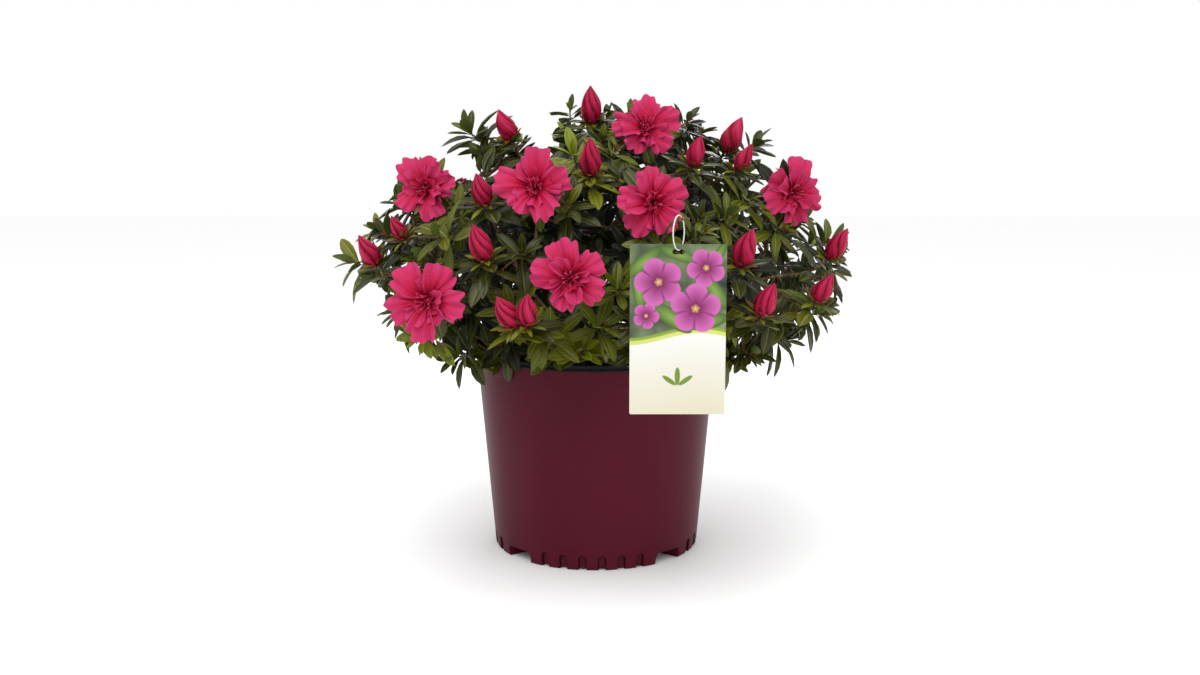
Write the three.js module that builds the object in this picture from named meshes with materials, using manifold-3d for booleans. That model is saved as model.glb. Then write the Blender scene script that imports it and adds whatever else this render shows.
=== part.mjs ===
// A potted azalea shrub in bloom, as a three.js scene graph. Units are millimetres, +Z is up.
// The origin is the middle of the pot's flat underside. The front, where the hang tag is, faces -Y.
import * as THREE from "three";
import { mergeVertices } from "three/addons/utils/BufferGeometryUtils.js";
import Module from "manifold-3d";

const wasm = await Module();
wasm.setup();

// Driving dimensions of the pot
const POT_HEIGHT = 241;
const POT_TOP_RADIUS = 144;
const POT_FOOT_RADIUS = 122;
const WALL = 3.2;
const COLLAR_HEIGHT = 14;
const COLLAR_STEP = 1;
const RIM_HEIGHT = 8;
const RIM_OVERHANG = 1.5;
const RIM_CHAMFER = { height: 2, outer: 1.5, inner: 1 };
const FLOOR = 3;
const MIX_LEVEL = 219;
const MIX_EDGE = { drop: 5, width: 40 };
const ROUND_SEGMENTS = 36;
const CLEAR = 0.3;

// The drain openings and the arched dents round the foot
const FOOT_TURN = -2;
const OPENINGS = 4;
const OPENING_WIDTH = 38;
const OPENING_HEIGHT = 13.5;
const OPENING_DEPTH = 45;
const OPENING_ROOF = 2.4;
const ROOF_BAND = { low: 1, high: 40, sunk: 1 };
const DENTS_BETWEEN = 6;
const DENT_SPACING = 10.5;
const DENT_WIDTH = 8.5;
const DENT_HEIGHT = 17;
const DENT_DEPTH = 2.4;
const DENT_CUT = { depth: 12, below: 1, segments: 2 };

// Driving dimensions of the crown, a rounded dome over the pot
const CROWN_LEVEL = 331;
const CROWN_RADIUS = 310;
const CROWN_RISE = 214;
const CROWN_DROP = 152;
const CROWN_ROUNDNESS = 1.55;
const DOME_LIMIT = 1.02;
const MASS_GAP = 0.5;

// Trunk and boughs
const TRUNK_TOP = 262;
const TRUNK_RADIUS = 13.5;
const ROOT_FLARE = 8;
const TRUNK_LEAN = 4;
const BOUGH_RING = 8.6;
const BOUGH_RADIUS = 4.6;
const FORK_RADIUS = 6.6;
const BRANCH_RING = 3.5;
const BRANCH_RADIUS = 2.9;
const STEM_RADIUS = 2.6;
const TWIG_RADIUS = 1.5;
const LEADER_RADIUS = 3.2;
const BOUGH_TAPER = 0.12;
const CURVE_PULL = 0.38;
const TRUNK_SIDES = 10;
const TRUNK_STEPS = 5;
const BOUGH_SIDES = 6;
const BOUGH_STEPS = 6;
const BRANCH_SIDES = 5;
const BRANCH_STEPS = 4;
const STEM_SIDES = 4;
const TWIG_SIDES = 3;
const TWIG_STEPS = 2;

// Leaves, buds and flowers: the leaves are fewer and larger than life
const LEAF_LENGTH = 72;
const LEAF_WIDTH = 31;
const LEAF_THICKNESS = 2;
const LEAF_SUNK = 1.2;
const LEAF_ARCH = 0.07;
const LEAF_FREE_FROM = 6;
const LEAF_FREE_SHARE = 0.88;
const LEAVES_ROUND = { leafy: 8, bud: 4, bloom: 5 };
const LEAF_SIZES_TRIED = [1, 0.82, 0.66];
const LEAF_SWINGS_TRIED = [0, 16, -16, 32, -32];
const LEAF_LEAN = { leafy: 46, bud: 56, bloom: 78 };
const LEAF_SPREAD = { turn: 14, lean: 20, lowerLean: 30, shortest: 0.9, longer: 0.16 };
const HUB_RADIUS = 5.4;
const HUB_LENGTH = 32;
const TIER_DROP = 11;
const CORE = { radius: 42, depth: 32, leaves: 5, rooted: 0.72 };
const CORE_LEAF = { polar: 35, polarRange: 60, lean: 30, leanRange: 45, turn: 20 };
const CORE_LEAF_SIZE = { shortest: 0.95, longer: 0.15 };
const FORK_SHARE = 0.6;
const BLOOM_RADIUS = 42;
const BLOOM_DEPTH = 26;
const BLOOM_FOOT = { z: -8, radius: 5, rise: 4 };
const BLOOM_THROAT = { radius: 10, share: 0.45, floor: 0.55 };
const BLOOM_LOBES = 5;
const LOBE_DEPTH = 0.22;
const LOBE_FALL = 20;
const BUD_LENGTH = 36;
const BUD_RADIUS = 10.4;
const BUD_FOOT = -16;
const BUD_BELLY = 0.36;
const BUD_SHOULDER = { radius: 0.72, height: 0.68 };
const BUD_SIDES = 5;
const GOLDEN_ANGLE = 137.508;

// The hang tag and the loop that it hangs by
const TAG = { width: 94, height: 168, thickness: 1, x: 80.5, y: -275, top: 384 };
const SLOT = { width: 12, height: 5, below: 5 };
const LOOP = { width: 18, height: 34, thickness: 1.5, turn: 50, sides: 5, steps: 18 };
const TAG_TWIG = { radius: 1.7, straight: 14, beyond: 8, steps: 3 };

const rad = THREE.MathUtils.degToRad;
const UP = new THREE.Vector3(0, 0, 1);
const CROWN_CENTRE = new THREE.Vector3(0, 0, CROWN_LEVEL);

// Azimuth 0 is the front (-Y) and 90 the right (+X). Elevation is above the level.
function direction(azimuth, elevation) {
  const level = Math.cos(rad(elevation));
  return new THREE.Vector3(
    Math.sin(rad(azimuth)) * level,
    -Math.cos(rad(azimuth)) * level,
    Math.sin(rad(elevation)),
  );
}

// A small seeded generator, so that every build gives the same plant
const SEED_STEP = 7919;
const SEED_START = 17;
const MULTIPLIER = 1664525;
const INCREMENT = 1013904223;
const MODULUS = 2 ** 32;

function seeded(seed) {
  let state = seed * SEED_STEP + SEED_START;
  return () => {
    state = (state * MULTIPLIER + INCREMENT) % MODULUS;
    return state / MODULUS;
  };
}

// Solids: a closed geometry becomes a Manifold, and a Manifold a geometry again
function solidOf(geometry) {
  const flat = geometry.index ? geometry.toNonIndexed() : geometry;
  const bare = new THREE.BufferGeometry().setAttribute("position", flat.getAttribute("position"));
  const merged = mergeVertices(bare, 1e-3);
  return new wasm.Manifold(
    new wasm.Mesh({
      numProp: 3,
      vertProperties: new Float32Array(merged.attributes.position.array),
      triVerts: new Uint32Array(merged.index.array),
    }),
  );
}

function geometryOf(solid) {
  const mesh = solid.getMesh();
  return new THREE.BufferGeometry()
    .setAttribute("position", new THREE.BufferAttribute(new Float32Array(mesh.vertProperties), 3))
    .setIndex(new THREE.BufferAttribute(new Uint32Array(mesh.triVerts), 1))
    .toNonIndexed();
}

// Joins solids and keeps the one outer body, which fills what the joining sealed and drops scraps
function fuse(solids) {
  const joined = solids.reduce((sum, next) => sum.add(next));
  return joined.decompose().reduce((best, body) => (body.volume() > best.volume() ? body : best));
}

// Bends a unit cylinder along a curve. radiusAt gives the radius at each share of the length.
function limbGeometry(curve, radiusAt, sides, steps) {
  const frames = curve.computeFrenetFrames(steps, false);
  const geometry = new THREE.CylinderGeometry(1, 1, 1, sides, steps);
  const place = geometry.getAttribute("position");
  for (let i = 0; i < place.count; i++) {
    const share = place.getY(i) + 0.5;
    const frame = Math.round(share * steps);
    const radius = radiusAt(share);
    const point = curve
      .getPoint(share)
      .addScaledVector(frames.binormals[frame], place.getX(i) * radius)
      .addScaledVector(frames.normals[frame], place.getZ(i) * radius);
    place.setXYZ(i, point.x, point.y, point.z);
  }
  return geometry;
}

const taper = (from, to) => (share) => from + (to - from) * share;

// The pot: a tapering shell with a collar, drain openings and a dented foot
const wallRadius = (z) => POT_FOOT_RADIUS + ((POT_TOP_RADIUS - POT_FOOT_RADIUS) * z) / POT_HEIGHT;

function lathe(profile) {
  const points = profile.map(([r, z]) => new THREE.Vector2(r, z));
  return new THREE.LatheGeometry(points, ROUND_SEGMENTS).rotateX(Math.PI / 2);
}

function potShell() {
  const top = POT_HEIGHT - RIM_HEIGHT - CLEAR;
  const collar = top - COLLAR_HEIGHT;
  return solidOf(
    lathe([
      [0, 0],
      [wallRadius(0), 0],
      [wallRadius(collar) - COLLAR_STEP, collar],
      [wallRadius(collar), collar + COLLAR_STEP],
      [wallRadius(top), top],
      [wallRadius(top) - WALL, top],
      [wallRadius(FLOOR) - WALL, FLOOR],
      [0, FLOOR],
    ]),
  );
}

// Blocks that run in from the wall, to cut the drain openings or, grown, to roof them
function openingCuts(grow) {
  const beyond = 2;
  const width = OPENING_WIDTH + 2 * grow;
  const height = OPENING_HEIGHT + beyond + grow;
  const depth = OPENING_DEPTH + beyond + grow;
  return Array.from({ length: OPENINGS }, (_, i) => {
    const block = new THREE.BoxGeometry(width, depth, height);
    block.translate(0, depth / 2 - POT_FOOT_RADIUS - beyond, height / 2 - beyond);
    return solidOf(block.rotateZ(rad((360 / OPENINGS) * (i + 0.5) + FOOT_TURN)));
  });
}

function dentCuts() {
  const arch = new THREE.Shape();
  const springing = DENT_HEIGHT - DENT_WIDTH / 2;
  arch.moveTo(-DENT_WIDTH / 2, -DENT_CUT.below);
  arch.lineTo(DENT_WIDTH / 2, -DENT_CUT.below);
  arch.lineTo(DENT_WIDTH / 2, springing);
  arch.absarc(0, springing, DENT_WIDTH / 2, 0, Math.PI, false);
  const cuts = [];
  for (let sector = 0; sector < OPENINGS; sector++) {
    for (let i = 0; i < DENTS_BETWEEN; i++) {
      const angle = (360 / OPENINGS) * sector + DENT_SPACING * (i - (DENTS_BETWEEN - 1) / 2);
      const cut = new THREE.ExtrudeGeometry(arch, {
        depth: DENT_CUT.depth,
        bevelEnabled: false,
        curveSegments: DENT_CUT.segments,
      });
      cut.rotateX(Math.PI / 2).translate(0, -(POT_FOOT_RADIUS - DENT_DEPTH), 0);
      cuts.push(solidOf(cut.rotateZ(rad(angle + FOOT_TURN))));
    }
  }
  return cuts;
}

function pot() {
  const { low, high, sunk } = ROOF_BAND;
  const inside = solidOf(
    lathe([
      [0, low],
      [wallRadius(low) - sunk, low],
      [wallRadius(high) - sunk, high],
      [0, high],
    ]),
  );
  const roofs = openingCuts(OPENING_ROOF).map((roof) => roof.intersect(inside));
  const shell = fuse([potShell(), ...roofs]);
  return [...openingCuts(0), ...dentCuts()].reduce((left, cut) => left.subtract(cut), shell);
}

function potRim() {
  const base = POT_HEIGHT - RIM_HEIGHT;
  const outer = POT_TOP_RADIUS + RIM_OVERHANG;
  const inner = wallRadius(base) - WALL;
  return solidOf(
    lathe([
      [inner, base],
      [outer, base],
      [outer, POT_HEIGHT - RIM_CHAMFER.height],
      [outer - RIM_CHAMFER.outer, POT_HEIGHT],
      [inner + RIM_CHAMFER.inner, POT_HEIGHT],
      [inner, base],
    ]),
  );
}

function pottingMix() {
  const gap = WALL + CLEAR;
  const shoulder = MIX_LEVEL - MIX_EDGE.drop;
  const fill = solidOf(
    lathe([
      [0, FLOOR + CLEAR],
      [wallRadius(FLOOR) - gap, FLOOR + CLEAR],
      [wallRadius(shoulder) - gap, shoulder],
      [wallRadius(shoulder) - MIX_EDGE.width, MIX_LEVEL],
      [0, MIX_LEVEL],
    ]),
  );
  return openingCuts(OPENING_ROOF + CLEAR).reduce((left, cut) => left.subtract(cut), fill);
}

// The crown's outline: 1 on the dome's surface, less inside
function crownShare(point) {
  const level = Math.hypot(point.x, point.y) / CROWN_RADIUS;
  const z = point.z - CROWN_LEVEL;
  const height = Math.abs(z) / (z > 0 ? CROWN_RISE : CROWN_DROP);
  return level ** CROWN_ROUNDNESS + height ** CROWN_ROUNDNESS;
}

// How far the dome's surface lies from the crown's centre in a direction
function crownReach(azimuth, elevation) {
  const unit = direction(azimuth, elevation).multiplyScalar(100).add(CROWN_CENTRE);
  return 100 / crownShare(unit) ** (1 / CROWN_ROUNDNESS);
}

const crownPoint = (azimuth, elevation, share = 1) =>
  direction(azimuth, elevation).multiplyScalar(crownReach(azimuth, elevation) * share).add(CROWN_CENTRE);

// From -1 to 1: the slow rise and fall of the crown's surface, where boughs push it out
const HILLS = { round: 6, roundStart: 5, up: 6.5, upStart: 2.6 };

function hill(point) {
  const azimuth = Math.atan2(point.x, -point.y);
  const level = (HILLS.up * point.z) / CROWN_RISE + Math.sin(azimuth) + HILLS.upStart;
  return Math.sin(HILLS.round * azimuth + HILLS.roundStart) * Math.sin(level);
}

// Five boughs fork from the trunk round a leader. Each carries an upper mass and two lower ones.
const BOUGHS = [
  { side: "front_right", azimuth: 36 },
  { side: "back_right", azimuth: 108 },
  { side: "back", azimuth: 180 },
  { side: "back_left", azimuth: 252 },
  { side: "front_left", azimuth: 324 },
];
const BRANCHES = [
  { place: "upper", turn: 0, elevation: 43, start: 0.5, centre: 0.66 },
  { place: "lower_1", turn: -18, elevation: 0, start: 0.5, centre: 0.7 },
  { place: "lower_2", turn: 18, elevation: 0, start: 0.5, centre: 0.7 },
];
const BRANCH_SPOTS = [90, 210, 330];
const BRANCH_LIFT = 12;
const STEM_LIFT = 10;
const BOUGH_FORK = { out: 72, level: 309, rise: 22, arrive: 30, pull: 30 };
const TRUNK_PULL = { foot: 16, top: 14 };
const LEADER_TIP = { x: -6, y: 8, share: 0.42 };
const TOP_CENTRE = 0.62;

function trunkCurve() {
  return new THREE.CubicBezierCurve3(
    new THREE.Vector3(-TRUNK_LEAN, 0, MIX_LEVEL + CLEAR),
    new THREE.Vector3(-TRUNK_LEAN, 0, MIX_LEVEL + TRUNK_PULL.foot),
    new THREE.Vector3(0, 0, TRUNK_TOP - TRUNK_PULL.top),
    new THREE.Vector3(0, 0, TRUNK_TOP),
  );
}

function trunk() {
  const radius = (share) => TRUNK_RADIUS + ROOT_FLARE * (1 - share) ** 4;
  return solidOf(limbGeometry(trunkCurve(), radius, TRUNK_SIDES, TRUNK_STEPS));
}

// A bough leaves the trunk's top upwards and bends out to its fork
function boughCurve({ azimuth }) {
  const start = direction(azimuth, 0).multiplyScalar(BOUGH_RING);
  start.z = TRUNK_TOP + CLEAR;
  const end = direction(azimuth, 0).multiplyScalar(BOUGH_FORK.out).setZ(BOUGH_FORK.level);
  return new THREE.CubicBezierCurve3(
    start,
    start.clone().addScaledVector(UP, BOUGH_FORK.rise),
    end.clone().addScaledVector(direction(azimuth, BOUGH_FORK.arrive), -BOUGH_FORK.pull),
    end,
  );
}

// The curve from a cut face at "from", facing "ahead", to a point, arriving along "arrive"
function growCurve(from, ahead, to, arrive) {
  const reach = from.distanceTo(to) * CURVE_PULL;
  return new THREE.CubicBezierCurve3(
    from,
    from.clone().addScaledVector(ahead, reach),
    to.clone().addScaledVector(arrive, -reach),
    to,
  );
}

// Each branch starts on the bough's end face, a clear step beyond it, beside its two neighbours
function branchCurve(bough, branch, index) {
  const main = boughCurve(bough);
  const ahead = main.getTangent(1);
  const side = new THREE.Vector3().crossVectors(UP, ahead).normalize();
  const over = new THREE.Vector3().crossVectors(ahead, side);
  const spot = rad(BRANCH_SPOTS[index]);
  const from = main
    .getPoint(1)
    .addScaledVector(ahead, CLEAR)
    .addScaledVector(over, Math.sin(spot) * BRANCH_RING)
    .addScaledVector(side, Math.cos(spot) * BRANCH_RING);
  const azimuth = bough.azimuth + branch.turn;
  const to = crownPoint(azimuth, branch.elevation, branch.start);
  return growCurve(from, ahead, to, direction(azimuth, branch.elevation + BRANCH_LIFT));
}

function leaderCurve() {
  const from = new THREE.Vector3(0, 0, TRUNK_TOP + CLEAR);
  const { x, y, share } = LEADER_TIP;
  return growCurve(from, UP, new THREE.Vector3(x, y, CROWN_LEVEL + CROWN_RISE * share), UP);
}

// A mass of foliage: its limb, the space that it keeps to, and the stem that grows on from the limb
function massOn(name, limbName, limb, limbRadius, endRadius, azimuth, elevation, centreShare) {
  const tip = limb.getPoint(1);
  const ahead = limb.getTangent(1);
  const outward = direction(azimuth, elevation);
  const centre = crownPoint(azimuth, elevation, centreShare);
  const from = tip.clone().addScaledVector(ahead, CLEAR);
  const stem = growCurve(from, ahead, centre, direction(azimuth, elevation + STEM_LIFT));
  return { name, limbName, limb, limbRadius, endRadius, centre, outward, stem };
}

function makeMasses() {
  const list = [];
  for (const bough of BOUGHS) {
    BRANCHES.forEach((branch, index) => {
      const place = `${bough.side}_${branch.place}`;
      list.push(
        massOn(
          `foliage_${place}`,
          `branch_${place}`,
          branchCurve(bough, branch, index),
          BRANCH_RADIUS,
          STEM_RADIUS,
          bough.azimuth + branch.turn,
          branch.elevation,
          branch.centre,
        ),
      );
    });
  }
  const leader = leaderCurve();
  list.push(massOn("foliage_top", "leader", leader, LEADER_RADIUS, STEM_RADIUS, 0, 90, TOP_CENTRE));
  return list;
}

const masses = makeMasses();

// How far a point lies inside a mass's own space, from the nearest plane halfway to a neighbour
function roomIn(mass, point) {
  let room = Infinity;
  for (const other of masses) {
    if (other === mass) continue;
    const apart = other.centre.distanceTo(mass.centre);
    const gap = point.distanceToSquared(other.centre) - point.distanceToSquared(mass.centre);
    room = Math.min(room, gap / (2 * apart));
  }
  return room;
}

// Inside a mass's own space, a little short of its neighbours, and inside the dome
const isOwnRoom = (mass, point) => roomIn(mass, point) > MASS_GAP && crownShare(point) < DOME_LIMIT;

const ownerOf = (point) =>
  masses.reduce((best, mass) =>
    point.distanceToSquared(mass.centre) < point.distanceToSquared(best.centre) ? mass : best,
  );

// The flowers and buds of the front, by azimuth and elevation on the dome
const FRONT_BLOOMS = [
  [-51, 23.5],
  [-15, 24.5],
  [23, 50],
  [13.6, 20.3],
  [62.5, 21.2],
  [-4.5, 4.2],
  [-33.5, -1.2],
];
const FRONT_BUDS = [
  [-46.5, 51.5],
  [-3.5, 66],
  [-1.3, 35.3],
  [-30, 24.6],
  [-50.4, 14.3],
  [-55.5, 8],
  [-23.7, 11.3],
  [-15.7, -1],
  [-12.8, -0.6],
  [36, 38.5],
  [76, 44.5],
  [58, 35.8],
  [31.3, 9.7],
  [33.5, 0.1],
  [50.7, 1.1],
  [65, 8.5],
];
const SHOOTS_IN_ALL = 110;
const LOWEST_SHOOT = -0.54;
const SHOOT_SPACING = 64;
const SPOT_SHARE = 0.88;
const REACH = { bloom: BLOOM_DEPTH * 0.8, bud: BUD_LENGTH / 2, leafy: 34 };
const ROOM = { bloom: 5, bud: 5, leafy: 14 };
const HOMING_STEP = 2;
const TILT = {
  bloom: { share: 0.5, up: 0 },
  bud: { share: 0.45, up: 1.6 },
  leafy: { share: 0.75, up: 0.25 },
};
const FACE_FRONT = 0.4;
const BEHIND = { azimuth: 110, lowest: -12, highest: 30 };
const KINDS_BEHIND = ["bud", "leafy", "bloom", "leafy", "bud", "bloom", "leafy"];
const LEAFY_REACH = { share: 0.98, hill: 0.04 };
const TWINS = { within: 30, lean: 0.25 };

// A shoot's tip lies inside the dome, so that its flower, bud or leaves just reach the dome.
// The flowers of the front turn more than halfway round to face it.
function shootAt(kind, azimuth, elevation, reach = 1) {
  const turnsToFront = kind === "bloom" && Math.abs(azimuth) < BEHIND.azimuth;
  const facing = turnsToFront ? azimuth * FACE_FRONT : azimuth;
  const axis = direction(facing, elevation * TILT[kind].share).addScaledVector(UP, TILT[kind].up);
  axis.normalize();
  const tip = crownPoint(azimuth, elevation, reach).addScaledVector(axis, -REACH[kind]);
  const mass = ownerOf(tip);
  const home = new THREE.Vector3();
  while (roomIn(mass, tip) < ROOM[kind])
    tip.addScaledVector(home.subVectors(mass.centre, tip).normalize(), HOMING_STEP);
  return { kind, tip, axis, mass };
}

// Two buds that grow from one whorl lean away from each other
function leanApart(list) {
  const buds = list.filter((shoot) => shoot.kind === "bud");
  for (const shoot of buds) {
    for (const other of buds) {
      const away = shoot.tip.clone().sub(other.tip);
      if (other === shoot || away.length() > TWINS.within) continue;
      shoot.axis.addScaledVector(away.normalize(), TWINS.lean).normalize();
    }
  }
}

// Golden-angle places fill the dome evenly between the flowers and buds of the front. Behind the
// front, flowers and buds alternate with leafy shoots in a band round the crown.
function placeShoots() {
  const list = [
    ...FRONT_BLOOMS.map(([azimuth, elevation]) => shootAt("bloom", azimuth, elevation)),
    ...FRONT_BUDS.map(([azimuth, elevation]) => shootAt("bud", azimuth, elevation)),
  ];
  leanApart(list);
  let behind = 0;
  for (let i = 0; i < SHOOTS_IN_ALL; i++) {
    const height = 1 - ((1 - LOWEST_SHOOT) * (i + 0.5)) / SHOOTS_IN_ALL;
    const elevation = THREE.MathUtils.radToDeg(Math.asin(height));
    const azimuth = ((i * GOLDEN_ANGLE + 180) % 360) - 180;
    const spot = crownPoint(azimuth, elevation, SPOT_SHARE);
    if (list.some((other) => other.tip.distanceTo(spot) < SHOOT_SPACING)) continue;
    const isInBand = elevation > BEHIND.lowest && elevation < BEHIND.highest;
    const isBehind = Math.abs(azimuth) > BEHIND.azimuth && isInBand;
    const kind = isBehind ? KINDS_BEHIND[behind++ % KINDS_BEHIND.length] : "leafy";
    const reach = kind === "leafy" ? LEAFY_REACH.share + LEAFY_REACH.hill * hill(spot) : 1;
    list.push(shootAt(kind, azimuth, elevation, reach));
  }
  return list;
}

// A double cone along Z with a few sides, pointed at both ends
function spindle(sides) {
  const outline = [new THREE.Vector2(0, -1), new THREE.Vector2(1, 0), new THREE.Vector2(0, 1)];
  return new THREE.LatheGeometry(outline, sides).rotateX(Math.PI / 2);
}

// Turns a piece that is modelled along +Z to a place and an axis
function standOn(geometry, place, axis) {
  geometry.applyQuaternion(new THREE.Quaternion().setFromUnitVectors(UP, axis));
  return geometry.translate(place.x, place.y, place.z);
}

// An open flower: a funnel whose rim has a lobe for each petal
function bloomSolid(place, axis) {
  const profile = [
    [0, BLOOM_FOOT.z],
    [BLOOM_FOOT.radius, BLOOM_FOOT.z + BLOOM_FOOT.rise],
    [BLOOM_THROAT.radius, BLOOM_DEPTH * BLOOM_THROAT.share],
    [BLOOM_RADIUS, BLOOM_DEPTH],
    [0, BLOOM_DEPTH * BLOOM_THROAT.floor],
  ].map(([r, z]) => new THREE.Vector2(r, z));
  const geometry = new THREE.LatheGeometry(profile, BLOOM_LOBES * 2).rotateX(Math.PI / 2);
  const spot = geometry.getAttribute("position");
  for (let i = 0; i < spot.count; i++) {
    const [x, y, z] = [spot.getX(i), spot.getY(i), spot.getZ(i)];
    const out = (Math.hypot(x, y) / BLOOM_RADIUS) ** 3;
    const isBetween = 0.5 - 0.5 * Math.cos(BLOOM_LOBES * Math.atan2(x, -y));
    const lobe = 1 - LOBE_DEPTH * out * isBetween;
    spot.setXYZ(i, x * lobe, y * lobe, z - out * (1 - lobe) * LOBE_FALL);
  }
  return solidOf(standOn(geometry, place, axis));
}

// A bud about to open: a five-sided spindle
function budSolid(place, axis) {
  const profile = [
    [0, BUD_FOOT],
    [BUD_RADIUS, BUD_LENGTH * BUD_BELLY],
    [BUD_RADIUS * BUD_SHOULDER.radius, BUD_LENGTH * BUD_SHOULDER.height],
    [0, BUD_LENGTH],
  ].map(([r, z]) => new THREE.Vector2(r, z));
  const geometry = new THREE.LatheGeometry(profile, BUD_SIDES).rotateX(Math.PI / 2);
  return solidOf(standOn(geometry, place, axis));
}

function hubSolid(place, axis) {
  const hub = spindle(TWIG_SIDES).scale(HUB_RADIUS, HUB_RADIUS, HUB_LENGTH / 2);
  return solidOf(standOn(hub.translate(0, 0, -TIER_DROP / 2), place, axis));
}

const HEADS = { bloom: bloomSolid, bud: budSolid, leafy: hubSolid };

// A piece with its box, so that most of the tests for a clash are quick
const boxed = (solid, shoot) => ({ solid, shoot, box: solid.boundingBox() });

function meets(piece, others) {
  const { min, max } = piece.box;
  return others.some(({ box, solid }) => {
    for (let k = 0; k < 3; k++) if (min[k] > box.max[k] || max[k] < box.min[k]) return false;
    return !piece.solid.intersect(solid).isEmpty();
  });
}

// Each shoot gets its head: a flower, a bud or a small hub. One that would touch is skipped.
function shootsWithHeads(barrier) {
  const heads = [];
  for (const shoot of placeShoots()) {
    const head = boxed(HEADS[shoot.kind](shoot.tip, shoot.axis), shoot);
    if (meets(head, barrier) || meets(head, heads)) continue;
    heads.push(head);
  }
  return heads;
}

// A leaf is a three-sided spindle drawn out flat: root, tip, two edges, and the keel of its rib.
// Its blade, clear of the root, is what may not meet anything: roots may crowd together.
function leafAt(length, root, along, face) {
  const geometry = spindle(3);
  const place = geometry.getAttribute("position");
  const width = LEAF_WIDTH * (length / LEAF_LENGTH);
  for (let i = 0; i < place.count; i++) {
    const [x, y, z] = [place.getX(i), place.getY(i), place.getZ(i)];
    const isKeel = y < -0.9;
    const lift = length * LEAF_ARCH * (1 - Math.abs(z)) - (isKeel ? LEAF_THICKNESS : 0);
    place.setXYZ(i, (x * width) / Math.sqrt(3), lift, ((z + 1) * length) / 2);
  }
  const across = new THREE.Vector3().crossVectors(face, along).normalize();
  const upper = new THREE.Vector3().crossVectors(along, across);
  geometry.applyMatrix4(new THREE.Matrix4().makeBasis(across, upper, along).setPosition(root));
  const solid = solidOf(geometry);
  const points = [];
  for (let i = 0; i < place.count; i++) points.push(new THREE.Vector3().fromBufferAttribute(place, i));
  geometry.translate(-root.x, -root.y, -root.z).scale(LEAF_FREE_SHARE, LEAF_FREE_SHARE, LEAF_FREE_SHARE);
  const start = root.clone().addScaledVector(along, LEAF_FREE_FROM);
  const blade = solidOf(geometry.translate(start.x, start.y, start.z));
  return { solid, blade: boxed(blade, null), points };
}

// A leaf swings or shrinks until it has room, or else it is skipped
function leafWithRoom(mass, length, root, axis, turn, lean, others) {
  const side = new THREE.Vector3(0.3, 1, 0.2).cross(axis).normalize();
  for (const size of LEAF_SIZES_TRIED) {
    for (const swing of LEAF_SWINGS_TRIED) {
      const out = side.clone().applyAxisAngle(axis, rad(turn + swing));
      const along = out.multiplyScalar(Math.sin(rad(lean))).addScaledVector(axis, Math.cos(rad(lean)));
      const face = axis.clone().addScaledVector(along, -axis.dot(along)).normalize();
      const sunk = root.clone().addScaledVector(along, -LEAF_SUNK);
      const leaf = leafAt(length * size, sunk, along, face);
      if (!leaf.points.every((point) => isOwnRoom(mass, point))) continue;
      if (!meets(leaf.blade, others)) return leaf.solid;
    }
  }
  return null;
}

// Leaves stand round the foot of a flower or a bud, and in two tiers round a leafy shoot's hub
function leavesRound({ shoot }, random, others) {
  const count = LEAVES_ROUND[shoot.kind];
  const grown = [];
  for (let i = 0; i < count; i++) {
    const isLower = shoot.kind === "leafy" && i % 2 === 1;
    const turn = (360 * i) / count + random() * LEAF_SPREAD.turn;
    const lower = isLower ? LEAF_SPREAD.lowerLean : 0;
    const lean = LEAF_LEAN[shoot.kind] + LEAF_SPREAD.lean * random() + lower;
    const length = LEAF_LENGTH * (LEAF_SPREAD.shortest + LEAF_SPREAD.longer * random());
    const root = shoot.tip.clone().addScaledVector(shoot.axis, isLower ? -TIER_DROP : (i % 3) * 2 - 3);
    const leaf = leafWithRoom(shoot.mass, length, root, shoot.axis, turn, lean, [...others, ...grown]);
    if (leaf) grown.push(boxed(leaf, shoot));
  }
  return grown;
}

// The shaded middle of a mass, where the leaves stand too close to tell apart
function coreSolid(mass) {
  const core = new THREE.IcosahedronGeometry(1).scale(CORE.radius, CORE.radius, CORE.depth);
  return solidOf(standOn(core, mass.centre, mass.outward));
}

// Leaves that stand out of the core's outer half, in a golden-angle spiral
function leavesOnCore(mass, random, others) {
  const side = new THREE.Vector3(0.3, 1, 0.2).cross(mass.outward).normalize();
  const grown = [];
  for (let i = 0; i < CORE.leaves; i++) {
    const share = i / CORE.leaves;
    const polar = rad(CORE_LEAF.polar + CORE_LEAF.polarRange * share);
    const out = side.clone().applyAxisAngle(mass.outward, rad(i * GOLDEN_ANGLE));
    const root = mass.centre
      .clone()
      .addScaledVector(out, Math.sin(polar) * CORE.radius * CORE.rooted)
      .addScaledVector(mass.outward, Math.cos(polar) * CORE.depth * CORE.rooted);
    const length = LEAF_LENGTH * (CORE_LEAF_SIZE.shortest + CORE_LEAF_SIZE.longer * random());
    const turn = i * GOLDEN_ANGLE + random() * CORE_LEAF.turn;
    const lean = CORE_LEAF.lean + CORE_LEAF.leanRange * share;
    const leaf = leafWithRoom(mass, length, root, mass.outward, turn, lean, [...others, ...grown]);
    if (leaf) grown.push(boxed(leaf, null));
  }
  return grown;
}

// The twig that the hang tag's loop is hooked over. It runs straight through the loop.
function tagTwig(mass) {
  const through = TAG_TWIG_POINT;
  const root = mass.centre.clone().addScaledVector(UP, CORE.radius * FORK_SHARE);
  const points = [
    root,
    through.clone().addScaledVector(LOOP_FACING, -TAG_TWIG.straight),
    through,
    through.clone().addScaledVector(LOOP_FACING, TAG_TWIG.beyond),
  ];
  const curve = new THREE.CatmullRomCurve3(points);
  return boxed(solidOf(limbGeometry(curve, () => TAG_TWIG.radius, STEM_SIDES, TAG_TWIG.steps)), null);
}

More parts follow.
